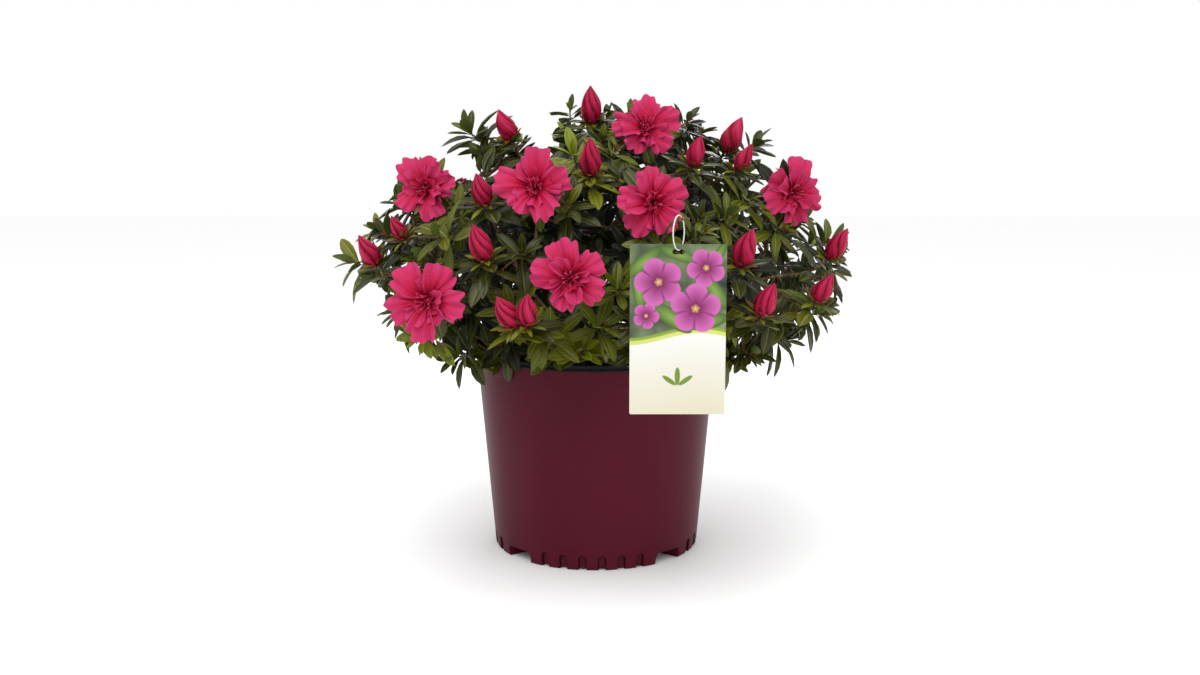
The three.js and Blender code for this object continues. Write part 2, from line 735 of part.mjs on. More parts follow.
// One mass: a stem from the limb's tip to the core, a twig to each shoot, the heads and the leaves
function foliage(mass, seed, heads, barrier) {
  const random = seeded(seed);
  const stem = limbGeometry(mass.stem, taper(mass.endRadius, TWIG_RADIUS), STEM_SIDES, TWIG_STEPS);
  const body = [boxed(solidOf(stem), null), boxed(coreSolid(mass), null)];
  const own = heads.filter((head) => head.shoot.mass === mass);
  const foreign = heads.filter((head) => head.shoot.mass !== mass);
  const twigs = mass === ownerOf(TAG_TWIG_POINT) ? [tagTwig(mass)] : [];
  const carried = own.filter(({ shoot }) => {
    const away = shoot.tip.clone().sub(mass.centre).normalize();
    const fork = mass.centre.clone().addScaledVector(away, CORE.depth * FORK_SHARE);
    const curve = growCurve(fork, away, shoot.tip, shoot.axis);
    const geometry = limbGeometry(curve, () => TWIG_RADIUS, TWIG_SIDES, TWIG_STEPS);
    const twig = boxed(solidOf(geometry), shoot);
    const isClear = !meets(twig, [...barrier, ...foreign]);
    if (isClear) twigs.push(twig);
    return isClear;
  });
  const leaves = [];
  for (const head of carried) {
    const otherTwigs = twigs.filter((twig) => twig.shoot !== head.shoot);
    const otherHeads = heads.filter((other) => other !== head);
    const others = [...barrier, ...body, ...otherTwigs, ...otherHeads, ...leaves];
    leaves.push(...leavesRound(head, random, others));
  }
  leaves.push(...leavesOnCore(mass, random, [...barrier, ...twigs, ...heads, ...leaves]));
  return fuse([...body, ...twigs, ...carried, ...leaves].map((piece) => piece.solid));
}

// The hang tag has a slot near its top edge, and a moulded loop goes through it and over a twig
function tag() {
  const { width, height, thickness, x, y, top } = TAG;
  const outline = new THREE.Shape();
  outline.moveTo(-width / 2, -height);
  outline.lineTo(width / 2, -height);
  outline.lineTo(width / 2, 0);
  outline.lineTo(-width / 2, 0);
  const slot = new THREE.Path();
  slot.absellipse(0, -SLOT.below - SLOT.height / 2, SLOT.width / 2, SLOT.height / 2, 0, Math.PI * 2);
  outline.holes.push(slot);
  const options = { depth: thickness, bevelEnabled: false, curveSegments: 6 };
  const card = new THREE.ExtrudeGeometry(outline, options);
  return card.rotateX(Math.PI / 2).translate(x, y + thickness / 2, top);
}

// The card hangs on the loop's lowest point, and the loop on a twig at its highest
const LOOP_BOTTOM = TAG.top - SLOT.below - CLEAR - LOOP.thickness / 2;
const LOOP_FACING = direction(LOOP.turn, 0);
const TAG_TWIG_POINT = new THREE.Vector3(
  TAG.x,
  TAG.y,
  LOOP_BOTTOM + LOOP.height - LOOP.thickness / 2 - CLEAR - TAG_TWIG.radius,
);

function tagLoop() {
  const tube = 0.1;
  const ring = new THREE.TorusGeometry(1, tube, LOOP.sides, LOOP.steps).rotateX(Math.PI / 2);
  const place = ring.getAttribute("position");
  for (let i = 0; i < place.count; i++) {
    const [x, y, z] = [place.getX(i), place.getY(i), place.getZ(i)];
    const r = Math.hypot(x, z);
    const [c, s] = [x / r, z / r];
    const grow = LOOP.thickness / 2 / tube;
    const off = (r - 1) * grow;
    place.setXYZ(i, c * (LOOP.width / 2 + off), y * grow, s * (LOOP.height / 2 + off));
  }
  ring.rotateZ(rad(LOOP.turn));
  return ring.translate(TAG.x, TAG.y, LOOP_BOTTOM + LOOP.height / 2);
}

// The materials' colours
const paint = (color, roughness, metalness = 0) =>
  new THREE.MeshStandardMaterial({ color, roughness, metalness });
const POT_RED = paint(0x571826, 0.42);
const RIM_BLACK = paint(0x1c1b1c, 0.5);
const DARK_MIX = paint(0x241a14, 0.95);
const BARK = paint(0x5a4130, 0.85);
const LEAF_GREEN = paint(0x34491a, 0.5);
const CARD_WHITE = paint(0xf1efe6, 0.45);
const LOOP_CLEAR = paint(0xdfe6da, 0.35);

const plant = new THREE.Group();

function add(name, geometry, material) {
  const mesh = new THREE.Mesh(geometry, material);
  mesh.name = name;
  plant.add(mesh);
  return mesh;
}

add("pot", geometryOf(pot()), POT_RED);
add("pot_rim", geometryOf(potRim()), RIM_BLACK);
add("potting_mix", geometryOf(pottingMix()), DARK_MIX);
add("tag", tag(), CARD_WHITE);
add("tag_loop", tagLoop(), LOOP_CLEAR);

// The limbs
const limbs = [{ name: "trunk", solid: trunk() }];

// A bough tapers a little, then swells at the fork where its branches start
function boughRadius(share) {
  const tapered = BOUGH_RADIUS * (1 - BOUGH_TAPER * share);
  return tapered + (FORK_RADIUS - BOUGH_RADIUS * (1 - BOUGH_TAPER)) * share ** 6;
}

for (const bough of BOUGHS) {
  const geometry = limbGeometry(boughCurve(bough), boughRadius, BOUGH_SIDES, BOUGH_STEPS);
  limbs.push({ name: `bough_${bough.side}`, solid: solidOf(geometry) });
}
for (const mass of masses) {
  const radius = taper(mass.limbRadius, mass.endRadius);
  const geometry = limbGeometry(mass.limb, radius, BRANCH_SIDES, BRANCH_STEPS);
  limbs.push({ name: mass.limbName, solid: solidOf(geometry) });
}
for (const limb of limbs) add(limb.name, geometryOf(limb.solid), BARK);

// What leaves and twigs must not touch: the limbs, the pot's outer form, the tag and its loop
const POT_ROOM = { foot: 2, top: 3, above: 2 };
const TAG_ROOM = { around: 1, ahead: 87, behind: 3 };
const LOOP_ROOM = { around: 2, above: 1.5 };
const potForm = solidOf(
  lathe([
    [0, 0],
    [POT_FOOT_RADIUS + POT_ROOM.foot, 0],
    [POT_TOP_RADIUS + POT_ROOM.top, POT_HEIGHT + POT_ROOM.above],
    [0, POT_HEIGHT + POT_ROOM.above],
  ]),
);
const tagRoom = new THREE.BoxGeometry(
  TAG.width + 2 * TAG_ROOM.around,
  TAG_ROOM.ahead + TAG_ROOM.behind,
  TAG.height + 2 * TAG_ROOM.around,
);
tagRoom.translate(TAG.x, TAG.y + (TAG_ROOM.behind - TAG_ROOM.ahead) / 2, TAG.top - TAG.height / 2);
const loopSide = LOOP.width + 2 * LOOP_ROOM.around;
const loopRoom = new THREE.BoxGeometry(loopSide, loopSide, LOOP.height + 2 * LOOP_ROOM.above);
loopRoom.translate(TAG.x, TAG.y, LOOP_BOTTOM + LOOP.height / 2);
const inTheWay = [...limbs.map((limb) => limb.solid), potForm, solidOf(tagRoom), solidOf(loopRoom)];
const barrier = inTheWay.map((solid) => boxed(solid, null));
const heads = shootsWithHeads(barrier);
masses.forEach((mass, index) => {
  add(mass.name, geometryOf(foliage(mass, index + 1, heads, barrier)), LEAF_GREEN);
});

export default plant;
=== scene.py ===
# %% [markdown]
# # A potted azalea in bloom
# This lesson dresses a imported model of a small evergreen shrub: limbs, twigs, leaves, flowers and buds,
# in a nursery pot with a hang tag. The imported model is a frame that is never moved. Coarse solids in it
# are replaced, piece by piece, by finer ones that stand in the same places.
# Everything is in metres, with +Z up and the front towards -Y. Real sizes are written in millimetres
# times MM, because that is how a grower or a potter would read them.

# %% Load the frame
import math
from collections import namedtuple

import bpy
import numpy as np
from mathutils import Matrix, Vector, noise


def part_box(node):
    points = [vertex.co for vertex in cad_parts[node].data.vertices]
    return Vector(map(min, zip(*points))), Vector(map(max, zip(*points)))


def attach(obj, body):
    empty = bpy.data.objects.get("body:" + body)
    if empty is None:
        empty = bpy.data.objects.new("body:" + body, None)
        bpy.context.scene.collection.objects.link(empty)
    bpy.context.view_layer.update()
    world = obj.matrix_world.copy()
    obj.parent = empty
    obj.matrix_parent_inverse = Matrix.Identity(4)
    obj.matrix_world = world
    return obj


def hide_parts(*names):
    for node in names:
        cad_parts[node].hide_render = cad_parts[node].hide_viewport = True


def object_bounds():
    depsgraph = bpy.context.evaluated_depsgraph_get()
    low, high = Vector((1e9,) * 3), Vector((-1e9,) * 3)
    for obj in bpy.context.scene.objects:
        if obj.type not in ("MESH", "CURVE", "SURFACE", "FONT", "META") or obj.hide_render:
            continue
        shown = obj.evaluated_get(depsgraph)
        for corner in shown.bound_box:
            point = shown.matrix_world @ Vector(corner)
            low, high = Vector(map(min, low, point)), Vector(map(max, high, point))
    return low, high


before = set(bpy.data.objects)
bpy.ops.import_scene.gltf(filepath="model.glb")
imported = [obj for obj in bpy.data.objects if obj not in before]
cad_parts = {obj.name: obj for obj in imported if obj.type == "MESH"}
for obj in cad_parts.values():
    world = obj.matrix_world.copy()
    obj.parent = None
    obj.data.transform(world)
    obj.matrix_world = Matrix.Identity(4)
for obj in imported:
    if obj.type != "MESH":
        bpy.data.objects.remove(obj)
cad_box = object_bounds()
scene = bpy.context.scene
MM = 0.001
print("frame:", len(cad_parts), "nodes, top at", round(cad_box[1][2] / MM), "mm")

# %% [markdown]
# ## Camera, floor and light
# A product picture on white: the camera stands a metre and a half away, a little above the pot, and
# looks slightly down. One large soft lamp above the front models the leaves, a weaker one fills from
# the right, and a third from behind draws a thin line of light round the crown. A white world over a
# floor of white paper does the rest, so that no horizon shows. Standard view colours keep the pink
# as strong as it is in daylight.

# %% Camera
CAMERA_PLACE = (4.6 * MM, -1500 * MM, 491 * MM)
CAMERA_DROP = 9.2
CAMERA_LENS = 38.1


def into_scene(name, data):
    """An object that holds the data, linked to the scene."""
    made = bpy.data.objects.new(name, data)
    scene.collection.objects.link(made)
    return made


camera = into_scene("camera", bpy.data.cameras.new("camera"))
camera.data.lens = CAMERA_LENS
camera.location = CAMERA_PLACE
camera.rotation_euler = (math.radians(90 - CAMERA_DROP), 0, 0)
scene.camera = camera
scene.view_settings.view_transform = "Standard"
print("camera:", CAMERA_LENS, "mm lens, looks", CAMERA_DROP, "degrees down")


# %% Nodes, materials and colours
def add_node(tree, kind, inputs=None, **settings):
    """Adds a node, sets its own settings, then sets or links its inputs by name or number."""
    made = tree.nodes.new(kind)
    for key, value in settings.items():
        setattr(made, key, value)
    for key, value in (inputs or {}).items():
        if isinstance(value, bpy.types.NodeSocket):
            tree.links.new(value, made.inputs[key])
        else:
            made.inputs[key].default_value = value
    return made


def new_material(name, color, roughness, **sockets):
    """A material with constants on the shader's own sockets. Returns it, its tree and its shader."""
    material = bpy.data.materials.new(name)
    material.use_nodes = True
    shader = material.node_tree.nodes["Principled BSDF"]
    shader.inputs["Base Color"].default_value = (*color, 1)
    shader.inputs["Roughness"].default_value = roughness
    for key, value in sockets.items():
        shader.inputs[key.replace("_", " ")].default_value = value
    return material, material.node_tree, shader


def srgb(red, green, blue):
    """A colour as a screen shows it, 0 to 255, turned into the linear values that shaders use."""
    shares = np.array([red, green, blue]) / 255
    return tuple(np.where(shares <= 0.04045, shares / 12.92, ((shares + 0.055) / 1.055) ** 2.4))


# %% Floor, world and lamps
FLOOR_HALF = 6
FLOOR_WHITE = (0.96, 0.96, 0.96)
FLOOR_ROUGHNESS = 0.9
WORLD_STRENGTH = 1.0
AIM = Vector((0, 0, 330 * MM))
LAMPS = {  # place, width, power
    "key": ((-0.4, -1.35, 2.2), 2.0, 33),
    "fill": ((1.5, -1.1, 0.9), 1.2, 3),
    "back": ((0.3, 1.5, 1.6), 1.0, 11),
}

world = bpy.data.worlds.new("studio")
world.use_nodes = True
backdrop = world.node_tree.nodes["Background"]
backdrop.inputs["Color"].default_value = (1, 1, 1, 1)
backdrop.inputs["Strength"].default_value = WORLD_STRENGTH
scene.world = world

floor_mesh = bpy.data.meshes.new("floor")
corners = [(x * FLOOR_HALF, y * FLOOR_HALF, 0) for x, y in ((-1, -1), (1, -1), (1, 1), (-1, 1))]
floor_mesh.from_pydata(corners, [], [(0, 1, 2, 3)])
floor_mesh.materials.append(new_material("white_paper", FLOOR_WHITE, FLOOR_ROUGHNESS)[0])
floor = into_scene("floor", floor_mesh)

for name, (place, width, power) in LAMPS.items():
    light = bpy.data.lights.new(name, "AREA")
    light.shape = "DISK"
    light.size = width
    light.energy = power
    lamp = into_scene(name, light)
    lamp.location = place
    lamp.rotation_euler = (AIM - Vector(place)).to_track_quat("-Z", "Y").to_euler()
print("lamps:", *LAMPS)

# %% [markdown]
# ## The crown's form
# The shrub fills a rounded dome over its pot. Its surface is a "superellipse": the same formula as
# a sphere, with an exponent below two, so that its shoulders are a little flatter. A point's share
# is 1 on that surface and less inside. Azimuth 0 is the front, and elevation is above the level.

# %% Dome
CROWN_LEVEL = 331 * MM
CROWN_RADIUS = 310 * MM
CROWN_RISE = 214 * MM
CROWN_DROP = 152 * MM
CROWN_ROUNDNESS = 1.55
GOLDEN_ANGLE = 137.508
UP = np.array([0.0, 0.0, 1.0])
CROWN_CENTRE = UP * CROWN_LEVEL
ODD_WAY = [0.3, 1, 0.2]  # a direction that no limb or shoot runs along


def unit(vector):
    return vector / np.linalg.norm(vector)


def beside(axis):
    """One direction square to an axis."""
    return unit(np.cross(ODD_WAY, axis))


def direction(azimuth, elevation):
    a, e = math.radians(azimuth), math.radians(elevation)
    return np.array([math.sin(a) * math.cos(e), -math.cos(a) * math.cos(e), math.sin(e)])


def crown_share(points):
    """Works for one point or for an array of them."""
    points = np.asarray(points)
    level = np.hypot(points[..., 0], points[..., 1]) / CROWN_RADIUS
    height = points[..., 2] - CROWN_LEVEL
    height = np.abs(height) / np.where(height > 0, CROWN_RISE, CROWN_DROP)
    return level**CROWN_ROUNDNESS + height**CROWN_ROUNDNESS


def crown_point(azimuth, elevation, share=1.0):
    """The place on the dome in a direction, or that share of the way to it."""
    outward = direction(azimuth, elevation)
    probe = 0.1
    reach = probe / crown_share(CROWN_CENTRE + outward * probe) ** (1 / CROWN_ROUNDNESS)
    return CROWN_CENTRE + outward * reach * share


print("dome:", np.round(crown_point(0, 0) / MM), "to", np.round(crown_point(0, 90) / MM))

# %% [markdown]
# ## Limbs
# A short trunk with a flared root carries five boughs round a middle leader, and each bough forks
# into three branches. Every branch ends in a mass of foliage that keeps to its own part of the dome.
# A limb is a cubic Bezier curve, because two points and two directions say all that a smooth bend
# needs. The curves follow the same rule as the frame's solids.

# %% Curves
POT_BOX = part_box("pot")
MIX_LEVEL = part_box("potting_mix")[1].z
CLEAR = 0.3 * MM
TRUNK_TOP = 262 * MM
TRUNK_LEAN = 4 * MM
TRUNK_PULLS = (16 * MM, 14 * MM)
BOUGH_RING = 8.6 * MM
BOUGH_OUT = 72 * MM
BOUGH_LEVEL = 309 * MM
BOUGH_RISE = 22 * MM
BOUGH_ARRIVAL = 30 * MM
BOUGH_SLOPE = 30
BRANCH_RING = 3.5 * MM
BRANCH_REACH = 0.5
BRANCH_LIFT = 12
STEM_LIFT = 10
CURVE_PULL = 0.38


def bezier(controls, shares):
    t = np.asarray(shares, float)[:, None]
    start, out, back, end = controls
    return (1 - t) ** 3 * start + 3 * (1 - t) ** 2 * t * out + 3 * (1 - t) * t**2 * back + t**3 * end


def grow(start, ahead, end, arrive):
    """The curve that leaves start along ahead and reaches end along arrive."""
    pull = CURVE_PULL * np.linalg.norm(end - start)
    return np.array([start, start + ahead * pull, end - arrive * pull, end])


def tip_of(curve):
    """A curve's last point and the direction that it ends in."""
    return curve[3], unit(curve[3] - curve[2])


def trunk_curve():
    low_pull, high_pull = TRUNK_PULLS
    heights = [MIX_LEVEL + CLEAR, MIX_LEVEL + low_pull, TRUNK_TOP - high_pull, TRUNK_TOP]
    return np.outer(heights, UP) + np.outer([1, 1, 0, 0], [-TRUNK_LEAN, 0, 0])


def bough_curve(azimuth):
    outward = direction(azimuth, 0)
    start = outward * BOUGH_RING + UP * (TRUNK_TOP + CLEAR)
    end = outward * BOUGH_OUT + UP * BOUGH_LEVEL
    arrive = direction(azimuth, BOUGH_SLOPE) * BOUGH_ARRIVAL
    return np.array([start, start + UP * BOUGH_RISE, end - arrive, end])


def branch_curve(bough, azimuth, elevation, spot):
    """One of three branches that start side by side on the bough's end."""
    end, ahead = tip_of(bough)
    side = unit(np.cross(UP, ahead))
    over = np.cross(ahead, side)
    ring = over * math.sin(math.radians(spot)) + side * math.cos(math.radians(spot))
    to = crown_point(azimuth, elevation, BRANCH_REACH)
    arrive = direction(azimuth, elevation + BRANCH_LIFT)
    return grow(end + ahead * CLEAR + ring * BRANCH_RING, ahead, to, arrive)


# %% Masses
SIDES = {"front_right": 36, "back_right": 108, "back": 180, "back_left": 252, "front_left": 324}
BRANCHES = {  # turn from the bough, elevation, place on the bough's end, share of the way to the dome
    "upper": (0, 43, 90, 0.66),
    "lower_1": (-18, 0, 210, 0.7),
    "lower_2": (18, 0, 330, 0.7),
}
LEADER_TIP = np.array([-6 * MM, 8 * MM, CROWN_LEVEL + CROWN_RISE * 0.42])
TOP_SHARE = 0.62


def mass_on(name, side, limb, azimuth, elevation, share):
    tip, ahead = tip_of(limb)
    centre = crown_point(azimuth, elevation, share)
    stem = grow(tip + ahead * CLEAR, ahead, centre, direction(azimuth, elevation + STEM_LIFT))
    return {"name": name, "side": side, "limb": limb, "centre": centre, "stem": stem}


boughs = {side: bough_curve(azimuth) for side, azimuth in SIDES.items()}
masses = []
for side, azimuth in SIDES.items():
    for place, (turn, elevation, spot, share) in BRANCHES.items():
        limb = branch_curve(boughs[side], azimuth + turn, elevation, spot)
        masses.append(mass_on(f"{side}_{place}", side, limb, azimuth + turn, elevation, share))
leader = grow(UP * (TRUNK_TOP + CLEAR), UP, LEADER_TIP, UP)
masses.append(mass_on("top", "top", leader, 0, 90, TOP_SHARE))
centres = np.array([mass["centre"] for mass in masses])


def owner_of(point):
    """The mass whose middle lies nearest."""
    return int(np.argmin(np.linalg.norm(centres - point, axis=1)))


def room_in(index, point):
    """How far a point lies inside a mass's own space, from the nearest plane halfway to another."""
    others = np.delete(centres, index, axis=0)
    apart = np.linalg.norm(others - centres[index], axis=1)
    gap = ((point - others) ** 2).sum(1) - ((point - centres[index]) ** 2).sum()
    return (gap / (2 * apart)).min()


print("limbs:", len(boughs), "boughs,", len(masses), "masses")

# %% [markdown]
# ## Shoots
# Flowers, fat buds and whorls of leaves all stand at the tips of shoots. Those at the front have
# places of their own, told by azimuth and elevation on the dome. The rest follow a golden-angle
# spiral, which fills a round form evenly without rows, as real plants do. Small shoots then fill
# the spaces in between in three layers, from the dome's surface to its shaded middle.

# %% Main shoots
FRONT_BLOOMS = [  # azimuth, elevation
    (-51, 23.5), (-15, 24.5), (23, 50), (13.6, 20.3), (62.5, 21.2), (-4.5, 4.2), (-33.5, -1.2),
]  # fmt: skip
FRONT_BUDS = [  # azimuth, elevation, size
    (-46.5, 51.5, 0.95), (-3.5, 66, 1.08), (-1.3, 35.3, 1.05), (-30, 24.6, 0.9), (-50.4, 14.3, 0.72),
    (-55.5, 8, 0.95), (-23.7, 11.3, 1.02), (-15.7, -1, 0.95), (-12.8, -0.6, 0.98), (36, 38.5, 0.88),
    (76, 44.5, 1.08), (58, 35.8, 0.84), (31.3, 9.7, 1.08), (33.5, 0.1, 1.0), (50.7, 1.1, 0.9), (65, 8.5, 1.0),
]  # fmt: skip
SHOOTS_IN_ALL = 110
LOWEST_SHOOT = -0.54
SPOT_SHARE = 0.88
SHOOT_SPACING = 64 * MM
BLOOM_DEPTH = 26 * MM
BUD_LENGTH = 36 * MM
REACH = {"bloom": BLOOM_DEPTH * 0.8, "bud": BUD_LENGTH / 2, "leafy": 34 * MM}
ROOM = {"bloom": 5 * MM, "bud": 5 * MM, "leafy": 14 * MM}
HOMING_STEP = 2 * MM
TILT = {"bloom": (0.5, 0), "bud": (0.45, 1.6), "leafy": (0.75, 0.25)}  # share of the elevation, pull upwards
FACE_FRONT = 0.4
BEHIND_AZIMUTH = 110
BEHIND_LOWEST, BEHIND_HIGHEST = -12, 30
KINDS_BEHIND = ["bud", "leafy", "bloom", "leafy", "bud", "bloom", "leafy"]
LEAFY_SHARE = 0.97
HILL = 0.08
HILLS_ROUND, HILL_START = 6, 5.0
HILLS_UP, HILL_LEVEL = 6.5, 2.6
SCATTER = 0.04
TWIN_SPACING = 30 * MM
TWIN_LEAN = 0.25


def hill(point):
    """From -1 to 1: the slow rise and fall of the crown's surface, where boughs push it out."""
    azimuth = np.arctan2(point[0], -point[1])
    level = HILLS_UP * point[2] / CROWN_RISE + math.sin(azimuth) + HILL_LEVEL
    return math.sin(HILLS_ROUND * azimuth + HILL_START) * math.sin(level)


def shoot_at(kind, azimuth, elevation, reach=1.0):
    share, up = TILT[kind]
    facing = azimuth * FACE_FRONT if kind == "bloom" and abs(azimuth) < BEHIND_AZIMUTH else azimuth
    axis = unit(direction(facing, elevation * share) + UP * up)
    tip = crown_point(azimuth, elevation, reach) - axis * REACH[kind]
    mass = owner_of(tip)
    while room_in(mass, tip) < ROOM[kind]:
        tip = tip + unit(centres[mass] - tip) * HOMING_STEP
    return {"kind": kind, "tip": tip, "axis": axis, "mass": mass}


def lean_apart(made):
    """Two buds that grow from one whorl lean away from each other."""
    buds = [shoot for shoot in made if shoot["kind"] == "bud"]
    for shoot in buds:
        for other in buds:
            away = shoot["tip"] - other["tip"]
            if 0 < np.linalg.norm(away) < TWIN_SPACING:
                shoot["axis"] = unit(shoot["axis"] + unit(away) * TWIN_LEAN)


def golden_place(number, count, lowest):
    """Azimuth and elevation of one place of a spiral that runs down from the top."""
    height = 1 - (1 - lowest) * (number + 0.5) / count
    return (number * GOLDEN_ANGLE + 180) % 360 - 180, math.degrees(math.asin(height))


def distance_to(made, spot):
    """From a spot to the tip of the nearest shoot."""
    return np.linalg.norm(np.array([shoot["tip"] for shoot in made]) - spot, axis=1).min()


def place_shoots():
    random = np.random.default_rng(2)
    made = [shoot_at("bloom", *place) for place in FRONT_BLOOMS]
    made += [{**shoot_at("bud", *place), "size": size} for *place, size in FRONT_BUDS]
    lean_apart(made)
    behind = 0
    for number in range(SHOOTS_IN_ALL):
        azimuth, elevation = golden_place(number, SHOOTS_IN_ALL, LOWEST_SHOOT)
        spot = crown_point(azimuth, elevation, SPOT_SHARE)
        if distance_to(made, spot) < SHOOT_SPACING:
            continue
        kind, reach = "leafy", 1.0
        if abs(azimuth) > BEHIND_AZIMUTH and BEHIND_LOWEST < elevation < BEHIND_HIGHEST:
            kind = KINDS_BEHIND[behind % len(KINDS_BEHIND)]
            behind += 1
        if kind == "leafy":
            reach = LEAFY_SHARE + HILL * hill(spot) + random.uniform(-SCATTER, SCATTER)
        made.append(shoot_at(kind, azimuth, elevation, reach))
    return made


shoots = place_shoots()
kinds = [shoot["kind"] for shoot in shoots]
print("shoots:", {kind: kinds.count(kind) for kind in REACH})

# %% Small shoots
LAYERS = [  # kind, share of the way to the dome, least spacing, places tried
    ("outer", 0.83, 36 * MM, 520),
    ("inner", 0.67, 36.72 * MM, 300),
    ("inner", 0.47, 38.88 * MM, 160),
]
DEEPEST_VALLEY = -0.25
FINE_JITTER = 6 * MM
FINE_ROOM = 3 * MM
FINE_LEAN = 16
FINE_TILT = 0.75
LEADER_ROOM = 25 * MM
EDGE_TUFTS = [  # azimuth, elevation, share of the way to the dome: they draw the outline's small lobes
    (-68, 46, 0.98), (58, 55, 0.96), (80, 38, 1.0), (76, 8, 0.94), (68, 6, 0.96), (86, 2, 0.94),
    (56, 3, 0.98), (76, -8, 0.92), (60, -7, 0.97), (66, -17, 0.97), (54, -19, 0.98), (48, -24, 0.94),
    (-84, 2, 0.92), (-76, -10, 0.84), (-50, -23, 0.94),
]  # fmt: skip
EDGE_SPACING = 26 * MM
EDGE_LIMIT = 1.25
EDGE_UP = 0.2


def edge_tufts():
    made = []
    for azimuth, elevation, share in EDGE_TUFTS:
        spot = crown_point(azimuth, elevation, share)
        if distance_to(shoots, spot) > EDGE_SPACING:
            axis = unit(direction(azimuth, elevation * FINE_TILT) + UP * EDGE_UP)
            tuft = {"kind": "leafy", "tip": spot, "axis": axis, "mass": owner_of(spot)}
            made.append({**tuft, "limit": EDGE_LIMIT})
    return made


def small_shoots():
    random = np.random.default_rng(11)
    made = edge_tufts()
    for kind, share, spacing, count in LAYERS:
        for number in range(count):
            azimuth, elevation = golden_place(number, count, LOWEST_SHOOT)
            height = hill(crown_point(azimuth, elevation))
            if kind == "outer" and height < DEEPEST_VALLEY:
                continue
            spot = crown_point(azimuth, elevation, share + HILL * height)
            spot = spot + random.normal(0, FINE_JITTER, 3)
            if distance_to(shoots + made, spot) < spacing:
                continue
            mass = owner_of(spot)
            if room_in(mass, spot) < FINE_ROOM or np.linalg.norm(spot[:2]) < LEADER_ROOM:
                continue
            axis = direction(azimuth + random.normal(0, FINE_LEAN), elevation * FINE_TILT)
            axis = unit(axis + UP * random.uniform(0.1, 0.45))
            made.append({"kind": kind, "tip": spot, "axis": axis, "mass": mass})
    return made


fine = small_shoots()
print("small shoots:", len(fine))

# %% [markdown]
# ## Meshes from arrays
# Most pieces here are many small meshes joined into one. A collector keeps their points and faces,
# and one slot number for each face. Joining them before they become a Blender mesh is much quicker
# than joining objects, and the export keeps it, where it would drop instances and particles.


# %% Collector
class Collector:
    """Points, faces, slots and a two-number coordinate for each point, for one joined mesh."""

    def __init__(self):
        self.points, self.faces, self.slots, self.marks, self.count = [], [], [], [], 0

    def add(self, points, faces, slot=0, marks=None):
        points = np.asarray(points, float).reshape(-1, 3)
        self.faces += [tuple(int(i) + self.count for i in face) for face in faces]
        self.slots += [slot] * len(faces) if np.isscalar(slot) else list(slot)
        self.points.append(points)
        self.marks.append(np.zeros((len(points), 2)) if marks is None else np.reshape(marks, (-1, 2)))
        self.count += len(points)

    def build(self, name, materials, sharp_above=None):
        mesh = bpy.data.meshes.new(name)
        mesh.from_pydata(np.concatenate(self.points).tolist(), [], self.faces)
        for material in materials:
            mesh.materials.append(material)
        mesh.polygons.foreach_set("material_index", self.slots)
        marks = mesh.attributes.new("mark", "FLOAT2", "POINT")
        marks.data.foreach_set("vector", np.concatenate(self.marks).ravel())
        mesh.shade_smooth()
        if sharp_above:
            mesh.set_sharp_from_angle(angle=math.radians(sharp_above))
        return add_object(name, mesh)


def add_object(name, mesh):
    triangles = sum(len(face.vertices) - 2 for face in mesh.polygons)
    print(f"{name}: {triangles} triangles")
    return into_scene(name, mesh)


def ring_faces(rings, sides, closed=True):
    """Quads between rings of points that follow each other in one array."""
    last = sides if closed else sides - 1
    return [
        (r * sides + s, r * sides + (s + 1) % sides, (r + 1) * sides + (s + 1) % sides, (r + 1) * sides + s)
        for r in range(rings - 1)
        for s in range(last)
    ]


def tube(points, radii, sides, relief=None):
    """A closed tube along points. relief(point, outward) gives how far the bark stands out there."""
    points = np.asarray(points)
    along = np.gradient(points, axis=0)
    along /= np.linalg.norm(along, axis=1)[:, None]
    side = -beside(along[0])
    turns = np.linspace(0, 2 * math.pi, sides, endpoint=False)
    shell = []
    for point, ahead, radius in zip(points, along, radii):
        side = unit(side - ahead * side.dot(ahead))
        over = np.cross(ahead, side)
        for turn in turns:
            outward = side * math.cos(turn) + over * math.sin(turn)
            rise = relief(point, outward) if relief else 0
            shell.append(point + outward * (radius + rise))
    faces = ring_faces(len(points), sides)
    faces += [tuple(range(sides))[::-1], tuple(range((len(points) - 1) * sides, len(points) * sides))]
    return np.array(shell), faces


# %% [markdown]
# ## Bark
# Old azalea wood is grey-brown and splits into fine upright plates. The plates are real relief in
# the mesh: a noise that is stretched along the limb. The material adds what is finer: a second
# noise for lichen-pale ridges and dark cracks, and a bump for the grain between them.


# %% Material helpers
def math_node(tree, operation, *values):
    return add_node(tree, "ShaderNodeMath", dict(enumerate(values)), operation=operation).outputs[0]


def cloud_noise(tree, scale, detail, stretch=(1, 1, 1)):
    """A soft noise from 0 to 1 that reads Object coordinates, so it stays with the piece."""
    place = add_node(tree, "ShaderNodeTexCoord").outputs["Object"]
    sized = add_node(tree, "ShaderNodeMapping", {"Vector": place, "Scale": stretch})
    inputs = {"Vector": sized.outputs[0], "Scale": scale, "Detail": detail}
    return add_node(tree, "ShaderNodeTexNoise", inputs).outputs["Fac"]


def color_ramp(tree, value, stops):
    """Turns a value into a colour by stops of (place, colour)."""
    made = add_node(tree, "ShaderNodeValToRGB", {"Fac": value})
    elements = made.color_ramp.elements
    for place, _ in stops[:-2]:
        elements.new(place)
    for element, (place, color) in zip(elements, stops):
        element.position = place
        element.color = (*color, 1)
    return made.outputs["Color"]


